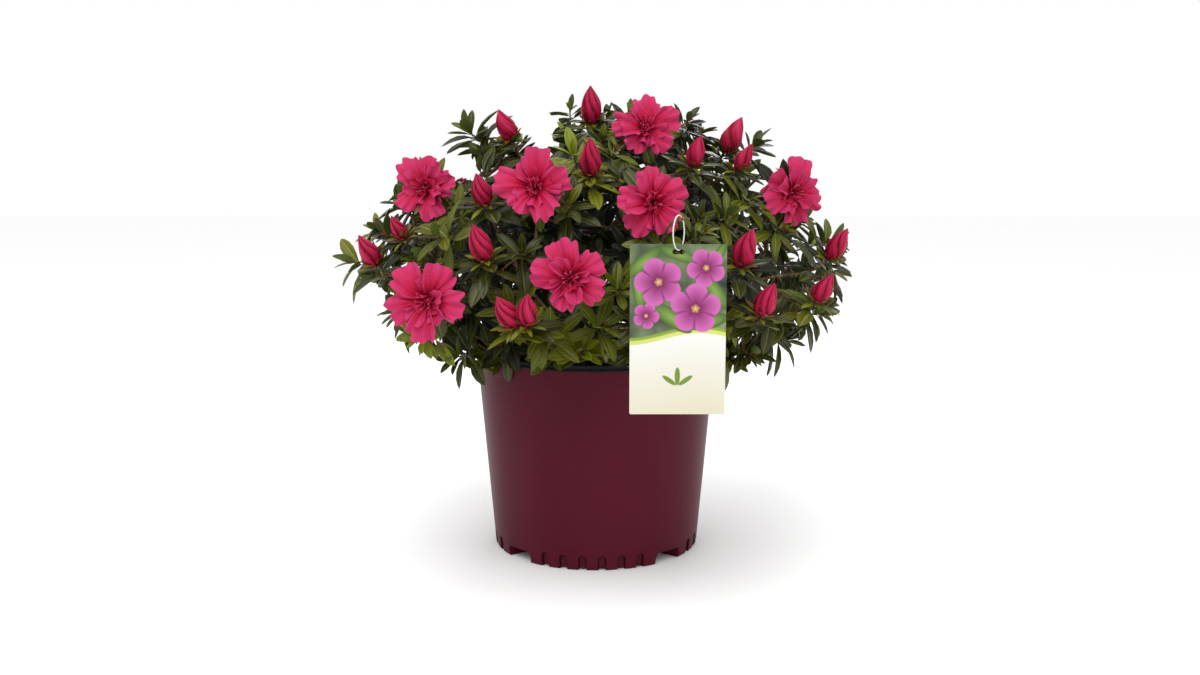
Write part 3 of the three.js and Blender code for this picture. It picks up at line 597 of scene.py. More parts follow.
def mix_color(tree, share, below, above):
    """Puts one colour over another. Each colour is a socket or plain values."""
    made = add_node(tree, "ShaderNodeMix", {"Factor": share}, data_type="RGBA")
    for key, value in ((6, below), (7, above)):
        if isinstance(value, bpy.types.NodeSocket):
            tree.links.new(value, made.inputs[key])
        else:
            made.inputs[key].default_value = (*value, 1)
    return made.outputs[2]


def marks_of(tree):
    """The two numbers that a joined mesh keeps for each point, as X and Y."""
    mark = add_node(tree, "ShaderNodeAttribute", attribute_name="mark").outputs["Vector"]
    return add_node(tree, "ShaderNodeSeparateXYZ", {0: mark}).outputs


def bump(tree, shader, height, strength, distance):
    inputs = {"Height": height, "Strength": strength, "Distance": distance}
    tree.links.new(add_node(tree, "ShaderNodeBump", inputs).outputs[0], shader.inputs["Normal"])


def grainy_material(name, color, roughness, stops, scale, detail, relief, stretch=(1, 1, 1)):
    """Colour and bump follow one noise. The relief is the bump's strength and depth."""
    material, tree, shader = new_material(name, color, roughness)
    cloud = cloud_noise(tree, scale, detail, stretch)
    tree.links.new(color_ramp(tree, cloud, stops), shader.inputs["Base Color"])
    bump(tree, shader, cloud, *relief)
    return material


def bark_material(name, dark, middle, pale, scale):
    stops = [(0.36, dark), (0.52, middle), (0.7, pale)]
    return grainy_material(name, middle, 0.85, stops, scale, 6, (0.6, 0.6 * MM), (1, 1, 0.3))


# %% Trunk and limbs
TRUNK_RADIUS = 13.5 * MM
ROOT_FLARE = 8 * MM
BOUGH_RADIUS = 4.6 * MM
BOUGH_TAPER = 0.12
FORK_RADIUS = 6.6 * MM
BRANCH_RADIUS = 2.9 * MM
LEADER_RADIUS = 3.2 * MM
STEM_RADIUS = 2.6 * MM
PLATE_STRETCH = np.array([1, 1, 0.35])
OLD_BARK = bark_material("old_bark", srgb(42, 32, 25), srgb(84, 66, 52), srgb(128, 110, 92), 260)


def plates(depth, size):
    """Bark relief: long plates with cracks between, deeper where the noise dips."""

    def relief(point, outward):
        spot = Vector((point + outward * size * 2) / size * PLATE_STRETCH)
        return depth * (abs(noise.noise(spot)) * 2.2 - 0.9)

    return relief


def limb(collector, curve, radius_at, sides, steps, relief):
    shares = np.linspace(0, 1, steps)
    radii = [radius_at(share) for share in shares]
    collector.add(*tube(bezier(curve, shares), radii, sides, relief))


def trunk_radius(share):
    return TRUNK_RADIUS + ROOT_FLARE * (1 - share) ** 4


def bough_radius(share):
    """A bough thins out, then swells where it forks."""
    swell = FORK_RADIUS - BOUGH_RADIUS * (1 - BOUGH_TAPER)
    return BOUGH_RADIUS * (1 - BOUGH_TAPER * share) + swell * share**6


trunk_wood = Collector()
limb(trunk_wood, trunk_curve(), trunk_radius, 40, 34, plates(1.1 * MM, 3.4 * MM))
trunk = trunk_wood.build("trunk_bark", [OLD_BARK])

limb_wood = Collector()
for curve in boughs.values():
    limb(limb_wood, curve, bough_radius, 16, 40, plates(0.4 * MM, 2 * MM))
for mass in masses:
    thick = LEADER_RADIUS if mass["side"] == "top" else BRANCH_RADIUS
    radii = np.linspace(thick, STEM_RADIUS, 30)
    limb_wood.add(*tube(bezier(mass["limb"], np.linspace(0, 1, 30)), radii, 10, plates(0.25 * MM, 1.6 * MM)))
limbs = limb_wood.build("limb_bark", [OLD_BARK])

# %% [markdown]
# ## Twigs
# Each mass goes on from its limb by a stem. Twigs leave the stem's end and curve out to the main
# shoots, and finer twigs fork from those to the small shoots. A twig is a line with a radius at each
# point, so all the twigs of a side are one Curve object, and one Geometry Nodes tree gives them their
# round skin: Curve to Mesh sweeps a small circle along every line. A shoot whose leaves find no room
# gets no twig either, so the skins are made further down, after the whorls of leaves.


# %% Geometry Nodes helpers
def geometry_tree(name, sizes):
    """A tree with a Geometry input and output and one named input for each size or data block."""
    tree = bpy.data.node_groups.new(name, "GeometryNodeTree")
    tree.is_modifier = True
    tree.interface.new_socket("Geometry", in_out="INPUT", socket_type="NodeSocketGeometry")
    for label, kind in sizes.items():
        tree.interface.new_socket(label, in_out="INPUT", socket_type="NodeSocket" + kind)
    tree.interface.new_socket("Geometry", in_out="OUTPUT", socket_type="NodeSocketGeometry")
    return tree, tree.nodes.new("NodeGroupInput").outputs


def run_tree(holder, tree, geometry, values, name):
    """Ends the tree in geometry, runs it on the holder and returns the result as a plain mesh object."""
    add_node(tree, "NodeGroupOutput", {"Geometry": geometry})
    modifier = holder.modifiers.new(tree.name, "NODES")
    modifier.node_group = tree
    for item in tree.interface.items_tree:
        if item.in_out == "INPUT" and item.name in values:
            modifier[item.identifier] = values[item.name]
    seen = bpy.context.evaluated_depsgraph_get()
    mesh = bpy.data.meshes.new_from_object(holder.evaluated_get(seen), depsgraph=seen)
    holder.modifiers.remove(modifier)
    bpy.data.objects.remove(holder)
    mesh.name = name
    return add_object(name, mesh)


def attribute(tree, name, kind):
    made = add_node(tree, "GeometryNodeInputNamedAttribute", {"Name": name}, data_type=kind)
    return made.outputs["Attribute"]


def shapes_on_points(tree, points, shapes, which, turn, size):
    """One shape of a collection on each point, made real."""
    inputs = {"Collection": shapes, "Separate Children": True, "Reset Children": True}
    kinds = add_node(tree, "GeometryNodeCollectionInfo", inputs)
    inputs = {"Points": points, "Instance": kinds.outputs["Instances"], "Pick Instance": True}
    inputs |= {"Instance Index": which, "Rotation": turn, "Scale": size}
    placed = add_node(tree, "GeometryNodeInstanceOnPoints", inputs)
    return add_node(tree, "GeometryNodeRealizeInstances", {"Geometry": placed.outputs[0]}).outputs[0]


def painted(tree, geometry, material, selection=True):
    inputs = {"Geometry": geometry, "Selection": selection, "Material": material}
    return add_node(tree, "GeometryNodeSetMaterial", inputs).outputs[0]


# %% Twig lines
PARTS = [*SIDES, "top"]
TWIG_RADIUS = 1.5 * MM
FINE_RADIUS = 1.0 * MM
TWIG_SIDES = 6
FORK_SHARES = np.linspace(0.1, 0.85, 6)
FORK_BACK = 30 * MM
LOOP_LOW, LOOP_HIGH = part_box("tag_loop")
LOOP_THICKNESS = 1.5 * MM
LOOP_TURN = 50
TAG_TWIG_RADIUS = 1.7 * MM
TAG_TWIG_BEYOND = 12 * MM
TAG_TWIG_ARCH = 40 * MM


def part_of(shoot):
    """The side of the crown that a shoot belongs to, or its top."""
    return masses[shoot["mass"]]["side"]


def tag_twig():
    """The owner and the curve of the twig that runs straight through the tag's loop, under its top."""
    facing = direction(LOOP_TURN, 0)
    through = np.array((LOOP_LOW + LOOP_HIGH) / 2)
    through[2] = LOOP_HIGH.z - LOOP_THICKNESS - CLEAR - TAG_TWIG_RADIUS
    mass = owner_of(through)
    start = unit(through - centres[mass] + UP * TAG_TWIG_ARCH)
    return mass, grow(centres[mass], start, through + facing * TAG_TWIG_BEYOND, facing)


def fine_twig(shoot, carriers):
    """A twig that forks a little way back from the nearest place, so that it doesn't turn sharply."""
    lines = [bezier(curve, FORK_SHARES) for curve in carriers]
    starts = [start for line in lines for start in zip(line, np.gradient(line, axis=0))]
    reach = np.array([np.linalg.norm(shoot["tip"] - point) for point, _ in starts])
    point, ahead = starts[int(np.argmin(np.abs(reach - FORK_BACK)))]
    onward = unit(unit(ahead) + unit(shoot["tip"] - point))
    return grow(point, onward, shoot["tip"], shoot["axis"])


def twig_lines():
    """(curve, first radius, last radius, points) of every stem and twig, by part of the crown."""
    lines = {part: [] for part in PARTS}
    carriers = [[] for _ in masses]
    for mass in masses:
        lines[mass["side"]].append((mass["stem"], STEM_RADIUS, TWIG_RADIUS * 1.2, 8))
    for shoot in shoots:
        if not shoot["is_left_out"]:
            centre = centres[shoot["mass"]]
            curve = grow(centre, unit(shoot["tip"] - centre), shoot["tip"], shoot["axis"])
            lines[part_of(shoot)].append((curve, TWIG_RADIUS * 1.15, TWIG_RADIUS, 8))
            carriers[shoot["mass"]].append(curve)
    for shoot in fine:
        if not shoot["is_left_out"]:
            curve = fine_twig(shoot, [*carriers[shoot["mass"]], masses[shoot["mass"]]["stem"]])
            lines[part_of(shoot)].append((curve, FINE_RADIUS * 1.2, FINE_RADIUS * 0.9, 6))
    lines[part_of(tag_tuft)].append((tag_curve, TAG_TWIG_RADIUS, TAG_TWIG_RADIUS * 0.9, 24))
    return lines


# %% Twig skins
YOUNG_BARK = bark_material("young_bark", srgb(58, 38, 24), srgb(98, 72, 44), srgb(130, 112, 62), 420)


def twig_curves(name, lines):
    data = bpy.data.curves.new(name, "CURVE")
    data.dimensions = "3D"
    for curve, thick, thin, count in lines:
        shares = np.linspace(0, 1, count)
        line = data.splines.new("POLY")
        line.points.add(count - 1)
        places = np.concatenate([bezier(curve, shares), np.ones((count, 1))], axis=1)
        line.points.foreach_set("co", places.ravel())
        line.points.foreach_set("radius", thick + (thin - thick) * shares)
    return into_scene(name, data)


def twig_skin(name, lines):
    tree, given = geometry_tree("twig skin", {"Sides": "Int", "Thickness": "Float", "Bark": "Material"})
    ring = add_node(tree, "GeometryNodeCurvePrimitiveCircle", {"Resolution": given["Sides"], "Radius": 1.0})
    radius = add_node(tree, "GeometryNodeInputRadius").outputs[0]
    inputs = {"Curve": given["Geometry"], "Profile Curve": ring.outputs["Curve"], "Fill Caps": True}
    inputs["Scale"] = math_node(tree, "MULTIPLY", given["Thickness"], radius)
    sweep = add_node(tree, "GeometryNodeCurveToMesh", inputs)
    solid = add_node(tree, "GeometryNodeRealizeInstances", {"Geometry": sweep.outputs["Mesh"]})
    skin = painted(tree, solid.outputs[0], given["Bark"])
    values = {"Sides": TWIG_SIDES, "Thickness": 1.0, "Bark": YOUNG_BARK}
    return run_tree(twig_curves(name, lines), tree, skin, values, name)

# %% [markdown]
# ## Leaves
# An azalea leaf is a short-stalked ellipse, widest past its middle, with glossy halves that swell
# on both sides of a sunken rib. One leaf needs about forty faces for that: upper side, rib and
# paler underside. Four shapes of leaf differ in how they droop, fold and twist. Leaves stand in
# whorls at the shoot tips, the oldest lowest and widest spread. A rule gives each its place as
# one point with a few attributes, and Geometry Nodes puts a leaf on every point.

# %% Leaf shapes
BELLY, RIB_EDGE = 0.55, 0.075
LEAF_COLUMNS = [-1, -BELLY, -RIB_EDGE, RIB_EDGE, BELLY, 1]
LEAF_STATIONS = [0, 0.1, 0.3, 0.52, 0.74, 0.9]  # shares of the length, before the tip
LEAF_HALF_WIDTHS = [0.07, 0.15, 0.7, 1.0, 0.88, 0.5]
LEAF_WAYS = [  # droop, fold, twist
    (0.14, 0.10, 0.0), (0.26, 0.05, 0.25), (0.06, 0.14, -0.2), (0.34, 0.02, 0.1),
]  # fmt: skip
LEAF_LIFT = 0.1
BELLY_SWELL = 0.05
RIB_SINK = 0.01
LEAF_KEEL = 0.03
TWIST_RISE = 0.34
UPPER, RIB, UNDER = 0, 1, 2


def leaf_points(droop, fold, twist):
    """Rows of points across the leaf, each with a keel point below, and then the tip."""
    points = []
    for share, half in zip(LEAF_STATIONS, LEAF_HALF_WIDTHS):
        middle = LEAF_LIFT * share - droop * share**2
        for column in LEAF_COLUMNS:
            swell = BELLY_SWELL * half if abs(column) == BELLY else 0
            sink = RIB_SINK if abs(column) == RIB_EDGE else 0
            rise = fold * half * abs(column) * 0.5 + swell - sink
            across = column * half / 2
            turn = twist * share
            lift = middle + rise + across * math.sin(turn) * TWIST_RISE
            points.append((across * math.cos(turn), share, lift))
        points.append((0, share, middle - LEAF_KEEL * (half + 0.3)))
    return [*points, (0, 1, LEAF_LIFT - droop)]


def leaf_shape(name, way):
    points, faces, zones = leaf_points(*way), [], []
    tip = len(points) - 1
    keel = len(LEAF_COLUMNS)
    wide = keel + 1
    strips = [(k, k + 1, RIB if k == 2 else UPPER) for k in range(keel - 1)]
    strips += [(keel - 1, keel, UNDER), (keel, 0, UNDER)]
    for here in range(0, tip, wide):
        last = here + wide == tip
        ahead = [tip] * wide if last else [here + wide + k for k in range(wide)]
        for left, right, zone in strips:
            faces.append(tuple(dict.fromkeys([here + left, here + right, ahead[right], ahead[left]])))
            zones.append(zone)
    faces.append(tuple(range(wide))[::-1])
    zones.append(UNDER)
    mesh = bpy.data.meshes.new(name)
    mesh.from_pydata(points, [], faces)
    mesh.shade_smooth()
    mesh.attributes.new("zone", "INT", "FACE").data.foreach_set("value", zones)
    rim = {(k, k + wide) for here in range(0, tip - wide, wide) for k in (here, here + keel - 1)}
    rim |= {(tip - wide, tip), (tip - 2, tip)}
    sharp = [tuple(sorted(edge.vertices)) in rim for edge in mesh.edges]
    mesh.attributes.new("sharp_edge", "BOOLEAN", "EDGE").data.foreach_set("value", sharp)
    return bpy.data.objects.new(name, mesh)


leaf_shapes = bpy.data.collections.new("leaf shapes")
for number, way in enumerate(LEAF_WAYS):
    leaf_shapes.objects.link(leaf_shape(f"leaf_{number}", way))

# %% [markdown]
# Every tint is one plain colour, dealt out by whorl: old whorls are dark, some are olive, and a few
# that have just opened are yellow-green. The deep tint is painted shade, dealt mostly to the inner
# whorls where the crown's middle lies in shadow. What the materials add is gloss, and a fine quilting
# between the side veins. A plain colour for each part of the leaf also survives any export as it is.

# %% Leaf materials
QUILT_SCALE = 330
QUILT_DEPTH = 0.35 * MM


def leaf_material(name, color, roughness, quilt):
    material, tree, shader = new_material(name, color, roughness, Specular_IOR_Level=0.25)
    bump(tree, shader, cloud_noise(tree, QUILT_SCALE, 2), quilt, QUILT_DEPTH)
    return material


TINTS = {  # upper side, rib
    # deep is painted shade: a near-black green for leaves in the crown's shadowed middle
    "deep": (srgb(19, 20, 3), srgb(40, 44, 12)),
    "dark": (srgb(47, 49, 6), srgb(98, 101, 27)),
    "green": (srgb(79, 83, 9), srgb(128, 133, 34)),
    "olive": (srgb(99, 101, 13), srgb(147, 150, 43)),
    "young": (srgb(112, 121, 24), srgb(157, 164, 57)),
    "bract": (srgb(112, 84, 26), srgb(142, 108, 42)),
}
TINT_NAMES = list(TINTS)
UNDERSIDE = leaf_material("leaf_underside", srgb(84, 98, 42), 0.6, 0.3)
BRACT_UNDERSIDE = leaf_material("bract_underside", srgb(132, 84, 40), 0.5, 0.3)
leaf_materials = []
for name, (upper, rib) in TINTS.items():
    leaf_materials += [
        leaf_material(f"leaf_{name}", upper, 0.33, 0.35),
        leaf_material(f"leaf_{name}_rib", rib, 0.45, 0.2),
        BRACT_UNDERSIDE if name == "bract" else UNDERSIDE,
    ]
print("leaf tints:", *TINTS)

# %% [markdown]
# A leaf needs room. It may not leave the dome, enter the pot or stand before a flower, a bud or the
# tag, and a few lines of sight stay open where one sees the sky between the shoots. The clear spaces
# are rays with a radius: from each flower along its axis, outwards and, at the front, to the viewer.

# %% Where leaves may not go
POT_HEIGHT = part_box("pot_rim")[1].z
POT_TOP_RADIUS = POT_BOX[1].x
POT_FOOT_RADIUS = 122 * MM
POT_CLEAR = 3 * MM
LIP_CLEAR = 2 * MM
TAG_LOW, TAG_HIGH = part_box("tag")
DOME_LIMIT = 1.1
LEAF_LIMIT = 1.0
HILL_LIMIT = 0.09
BOX_MARGIN = 4 * MM
BOX_LOW, BOX_HIGH = (np.array(corner) for corner in cad_box)
SKIRT_MIDDLE = 220 * MM
SKIRT_SWING = 23 * MM
SKIRT_WAVES = 3
SKIRT_SLOPE = 0.18
HEAD_RADIUS = {"bloom": 37 * MM, "bud": 12 * MM}
HEAD_START = {"bloom": 12 * MM, "bud": -5 * MM}
VIEWER = np.array(CAMERA_PLACE)
IN_FRONT = -100 * MM
SKY_GAPS = [  # millimetres: across, height and radius where a clear line of sight passes the middle
    (-80, 504, 14), (-64, 498, 14), (-48, 526, 14), (-66, 522, 12), (-62, 484, 9), (-68, 471, 6),
    (-46, 467, 5), (-168, 449, 12), (-150, 449, 12), (187, 427, 8), (199, 451, 6), (-95, 463, 5),
    (21, 491, 5), (-122, 449, 5), (228, 260, 6), (-247, 424, 10), (-266, 302, 10), (-258, 288, 9),
]  # fmt: skip

rays = []  # start, direction, radius
for shoot in shoots:
    if shoot["kind"] in HEAD_START:
        start = shoot["tip"] + shoot["axis"] * HEAD_START[shoot["kind"]]
        ways = [shoot["axis"], unit(shoot["tip"] - CROWN_CENTRE)]
        if shoot["tip"][1] < IN_FRONT:
            ways.append(unit(VIEWER - CROWN_CENTRE))
        rays += [(start, way, HEAD_RADIUS[shoot["kind"]]) for way in ways]
for x, z, radius in SKY_GAPS:
    rays.append((VIEWER, unit(np.array([x * MM, 0, z * MM]) - VIEWER), radius * MM))
ray_starts, ray_ways, ray_radii = (np.array(values) for values in zip(*rays))


def blocks_a_view(points):
    """True where a point stands in the clear space before a flower, or in a gap of sky."""
    away = points[:, None] - ray_starts
    ahead = (away * ray_ways).sum(2)
    aside = np.linalg.norm(away - ahead[..., None] * ray_ways, axis=2)
    return ((ahead > 0) & (aside < ray_radii)).any()


def hides(points, low, high, aside, behind):
    """True where a point stands before a box, or only that far beside or behind it."""
    x, y, z = points.T
    is_level = (z > low.z) & (z < high.z)
    return (is_level & (x > low.x - aside) & (x < high.x + aside) & (y < high.y + behind)).any()


def enters_pot(points):
    """True where a point is in the pot, or in front of its lip under the crown's lower edge."""
    x, y, z = points.T
    out = np.hypot(x, y)
    # The edge hangs lower at the sides than in front, where the lip shows
    skirt = SKIRT_MIDDLE + SKIRT_SWING * np.cos(SKIRT_WAVES * np.arctan2(x, -y))
    is_below = z < skirt + SKIRT_SLOPE * (out - POT_TOP_RADIUS)
    wall = POT_FOOT_RADIUS + (POT_TOP_RADIUS - POT_FOOT_RADIUS) * z / POT_HEIGHT + POT_CLEAR
    return (is_below | ((z < POT_HEIGHT + LIP_CLEAR) & (out < wall))).any()


def is_free(points, limit):
    """True where no point leaves the dome, enters the pot, or hides a flower, a bud or the tag."""
    if (crown_share(points) > limit).any() or enters_pot(points) or blocks_a_view(points):
        return False
    if (points < BOX_LOW + BOX_MARGIN).any() or (points > BOX_HIGH - BOX_MARGIN).any():
        return False
    by_tag = hides(points, TAG_LOW, TAG_HIGH, 2 * MM, 3 * MM)
    return not (by_tag or hides(points, LOOP_LOW, LOOP_HIGH, 3 * MM, 2 * MM))


print("clear spaces:", len(rays))


# %% Whorls
LEAF_LENGTH = 44 * MM
LEAF_WIDTH_SHARE = 0.37
SMALL_SHOOT_SIZE = 0.92
WHORLS = {  # leaves, lean of the lowest and the highest, shortest share, length of stem with leaves
    "leafy": (13, 96, 22, 0.5, 20 * MM),
    "outer": (11, 92, 24, 0.5, 17 * MM),
    "inner": (9, 95, 40, 0.7, 15 * MM),
    "bud": (10, 98, 62, 0.7, 12 * MM),
    "bloom": (8, 100, 78, 0.75, 10 * MM),
}
WHORL_SIZES = [1, 0.82, 0.66]
WHORL_SWINGS = [0, 16, -16, 32, -32]
# Inner whorls mostly get the deep tint, painted shade for the crown's middle; other whorls get it now and
# then
INNER_SHADE_ODDS = [0.75, 0.25, 0, 0, 0]
TINT_ODDS = [0.08, 0.5, 0.28, 0.1, 0.04]
HEAD_FOOT = {"bloom": -9 * MM, "bud": -10 * MM}
NEW_FROM = 0.8
NEW_ODDS = 0.6
FEWEST_LEAVES = 4


def turned(vector, axis, degrees):
    return np.array(Matrix.Rotation(math.radians(degrees), 3, Vector(axis)) @ Vector(vector))


def leaf_record(root, along, light, length, width, shape, tint):
    """What a leaf is told: where it stands, where it points, where it faces, its size and its kind."""
    return {
        "root": root,
        "along": along,
        "face": unit(light - along * light.dot(along)),
        "size": (width, length, length),
        "shape": shape,
        "tint": TINT_NAMES.index(tint),
    }


def leaned(axis, outward, degrees):
    """The axis, leaned over to one side."""
    lean = math.radians(degrees)
    return outward * math.sin(lean) + axis * math.cos(lean)


def leaf_with_room(root, axis, side, turn, lean, length, limit):
    """A leaf swings or shrinks until it has room, or else it is left out."""
    for size in WHORL_SIZES:
        for swing in WHORL_SWINGS:
            along = leaned(axis, turned(side, axis, turn + swing), lean)
            across = unit(np.cross(along, axis)) * length * size * LEAF_WIDTH_SHARE / 2
            middle = root + along * length * size * BELLY
            ends = np.array([middle + across, middle - across, root + along * length * size])
            if is_free(ends, limit):
                return along, length * size
    return None


def whorl(shoot, random):
    count, low, high, shortest, stem = WHORLS[shoot["kind"]]
    axis = shoot["axis"]
    # Inner whorls take the painted-shade deep tint most often
    odds = INNER_SHADE_ODDS if shoot["kind"] == "inner" else TINT_ODDS
    tint = TINT_NAMES[random.choice(len(odds), p=odds)]
    can_be_young = shoot["kind"] in ("leafy", "outer")
    if tint == "young" and not can_be_young:
        tint = "green"
    first_turn = random.uniform(0, 360)
    size = LEAF_LENGTH * random.uniform(0.9, 1.1) * (1 if shoot["kind"] in REACH else SMALL_SHOOT_SIZE)
    limit = DOME_LIMIT if shoot["kind"] in HEAD_FOOT else LEAF_LIMIT + HILL_LIMIT * hill(shoot["tip"])
    limit = shoot.get("limit", limit)
    made = []
    for number in range(count):
        share = number / (count - 1)
        root = shoot["tip"] + axis * (HEAD_FOOT.get(shoot["kind"], 0) - stem * (1 - share))
        length = size * (1 - (1 - shortest) * share**2) * random.uniform(0.85, 1.1)
        lean = low + (high - low) * share**1.3 + random.normal(0, 7)
        turn = first_turn + number * GOLDEN_ANGLE + random.normal(0, 8)
        leaf = leaf_with_room(root, axis, beside(axis), turn, lean, length, limit)
        if leaf is None:
            continue
        along, length = leaf
        is_new = share > NEW_FROM and can_be_young and tint != "young"
        shade = TINT_NAMES[TINT_NAMES.index(tint) + 1] if is_new and random.random() < NEW_ODDS else tint
        width = length * LEAF_WIDTH_SHARE * random.uniform(0.9, 1.12)
        shape = int(random.integers(len(LEAF_WAYS)))
        made.append(leaf_record(root, along, axis * 0.7 + UP * 0.5, length, width, shape, shade))
    return made


tag_mass, tag_curve = tag_twig()
tag_tuft = {"kind": "inner", "tip": tag_curve[3], "axis": direction(LOOP_TURN, 20), "mass": tag_mass}
leaf_random = np.random.default_rng(5)
leaves = {part: [] for part in PARTS}
for shoot in [*shoots, *fine, tag_tuft]:
    made = whorl(shoot, leaf_random)
    # A shoot is left out where few leaves find room or its tip stands in a gap, so none sticks out bare
    is_bare = len(made) < FEWEST_LEAVES or blocks_a_view(shoot["tip"][None])
    shoot["is_left_out"] = is_bare and shoot["kind"] not in HEAD_FOOT
    if not shoot["is_left_out"]:
        leaves[part_of(shoot)] += made
print("leaves:", {part: len(made) for part, made in leaves.items()})

# %% Twig pieces
twigs = {part: twig_skin(f"twigs_{part}", lines) for part, lines in twig_lines().items()}


# %% Leaves on their points
ZONES = 3


def point_cloud(name, records):
    """A mesh of loose points that carries one attribute for each thing a leaf needs to know."""
    mesh = bpy.data.meshes.new(name)
    mesh.from_pydata([record["root"].tolist() for record in records], [], [])
    for key in ("along", "face", "size"):
        made = mesh.attributes.new(key, "FLOAT_VECTOR", "POINT")
        made.data.foreach_set("vector", np.array([record[key] for record in records]).ravel())
    for key in ("shape", "tint"):
        made = mesh.attributes.new(key, "INT", "POINT")
        made.data.foreach_set("value", [record[key] for record in records])
    return into_scene(name, mesh)


def leaves_on_points(name, records):
    """Geometry Nodes: one leaf shape on each point, made real, then painted by tint and by zone."""
    tree, given = geometry_tree("leaves on points", {"Shapes": "Collection", "Size": "Float"})
    along, face, size = (attribute(tree, key, "FLOAT_VECTOR") for key in ("along", "face", "size"))
    shape, tint, zone = (attribute(tree, key, "INT") for key in ("shape", "tint", "zone"))
    ways = {"primary_axis": "Y", "secondary_axis": "Z"}
    turn = add_node(tree, "FunctionNodeAxesToRotation", {0: along, 1: face}, **ways).outputs[0]
    inputs = {0: size, "Scale": given["Size"]}
    scale = add_node(tree, "ShaderNodeVectorMath", inputs, operation="SCALE").outputs["Vector"]
    shown = shapes_on_points(tree, given["Geometry"], given["Shapes"], shape, turn, scale)
    slot = math_node(tree, "MULTIPLY_ADD", tint, ZONES, zone)
    for used in sorted({record["tint"] for record in records}):
        for part in (UPPER, RIB, UNDER):
            number = used * ZONES + part
            inputs = {0: slot, 1: number, "Epsilon": 0.5}
            is_this = add_node(tree, "FunctionNodeCompare", inputs, operation="EQUAL").outputs[0]
            shown = painted(tree, shown, leaf_materials[number], is_this)
    values = {"Shapes": leaf_shapes, "Size": 1.0}
    return run_tree(point_cloud(name, records), tree, shown, values, name)


foliage = {part: leaves_on_points(f"leaves_{part}", records) for part, records in leaves.items()}

# %% [markdown]
# ## Flowers
# The flowers are semi-double: five broad outer petals that are joined into a funnel at the foot, a
# second ring of narrower ones that stand up between them, and a crumpled middle with a few pale
# threads. A petal is a patch of the funnel, told by its turn round the axis and its way out along
# the profile. Waves that grow towards the margin ruffle it, and a thin wall closes it, so that it is
# a real sheet with two sides. Every flower draws its own waves, so no two are alike.

# %% Petals
PETAL_THICKNESS = 0.45 * MM
RING_FIELDS = "petals turn half_angle length foot rim spread ruffle lobe frills columns rows slot"
Ring = namedtuple("Ring", RING_FIELDS)
RINGS = [  # from the outside in. Foot and rim are how far the petal opens there, in degrees
    Ring(5, 0, 43, 50 * MM, 8, 94, 9, 5.8 * MM, 0.42, 1.0, 31, 13, 0),
    Ring(5, 34, 42, 39 * MM, 6, 68, 15, 5.0 * MM, 0.3, 0.62, 19, 10, 0),
    Ring(5, 8, 54, 29 * MM, 4, 44, 16, 4.4 * MM, 0.3, 0.5, 16, 9, 1),
    Ring(4, 20, 52, 22 * MM, 0, 18, 10, 3.4 * MM, 0.22, 0.4, 11, 7, 1),
]
PROFILE_STEPS = 60
TUBE_RADIUS = 1.6 * MM
BEND_FROM, BEND_OVER = 0.12, 0.62
LOBE_CURVE = 3.4
NOTCH, NOTCH_WAVES = 0.1, 4.6
FINE_NOTCH, FINE_NOTCH_WAVES = 0.03, 15
RUFFLE_WAVES = (3.6, 7.5)
FRILL, FRILL_WAVES = 2.3 * MM, 14.5
CRINKLE, CRINKLE_WAVES = 1.2 * MM, 17
OVERLAP_LIFT = 2.0 * MM
CREASE, CREASE_WIDTH = 1.4 * MM, 0.14


def closed_sheet(grid, thickness):
    """Gives a grid of points (rows, columns, 3) a second side and a rim. Returns points and faces."""
    rows, columns, _ = grid.shape
    down = np.gradient(grid, axis=0)
    across = np.gradient(grid, axis=1)
    normal = np.cross(across, down)
    normal /= np.linalg.norm(normal, axis=2)[..., None] + 1e-12
    front = grid.reshape(-1, 3)
    back = (grid - normal * thickness).reshape(-1, 3)
    faces = ring_faces(rows, columns, closed=False)
    count = rows * columns
    back_faces = [tuple(i + count for i in face[::-1]) for face in faces]
    rim = list(range(columns)) + [r * columns + columns - 1 for r in range(1, rows)]
    rim += [count - 1 - k for k in range(1, columns)] + [r * columns for r in range(rows - 2, 0, -1)]
    edge = [(a, a + count, b + count, b) for a, b in zip(rim, rim[1:] + rim[:1])]
    return np.concatenate([front, back]), faces + back_faces + edge


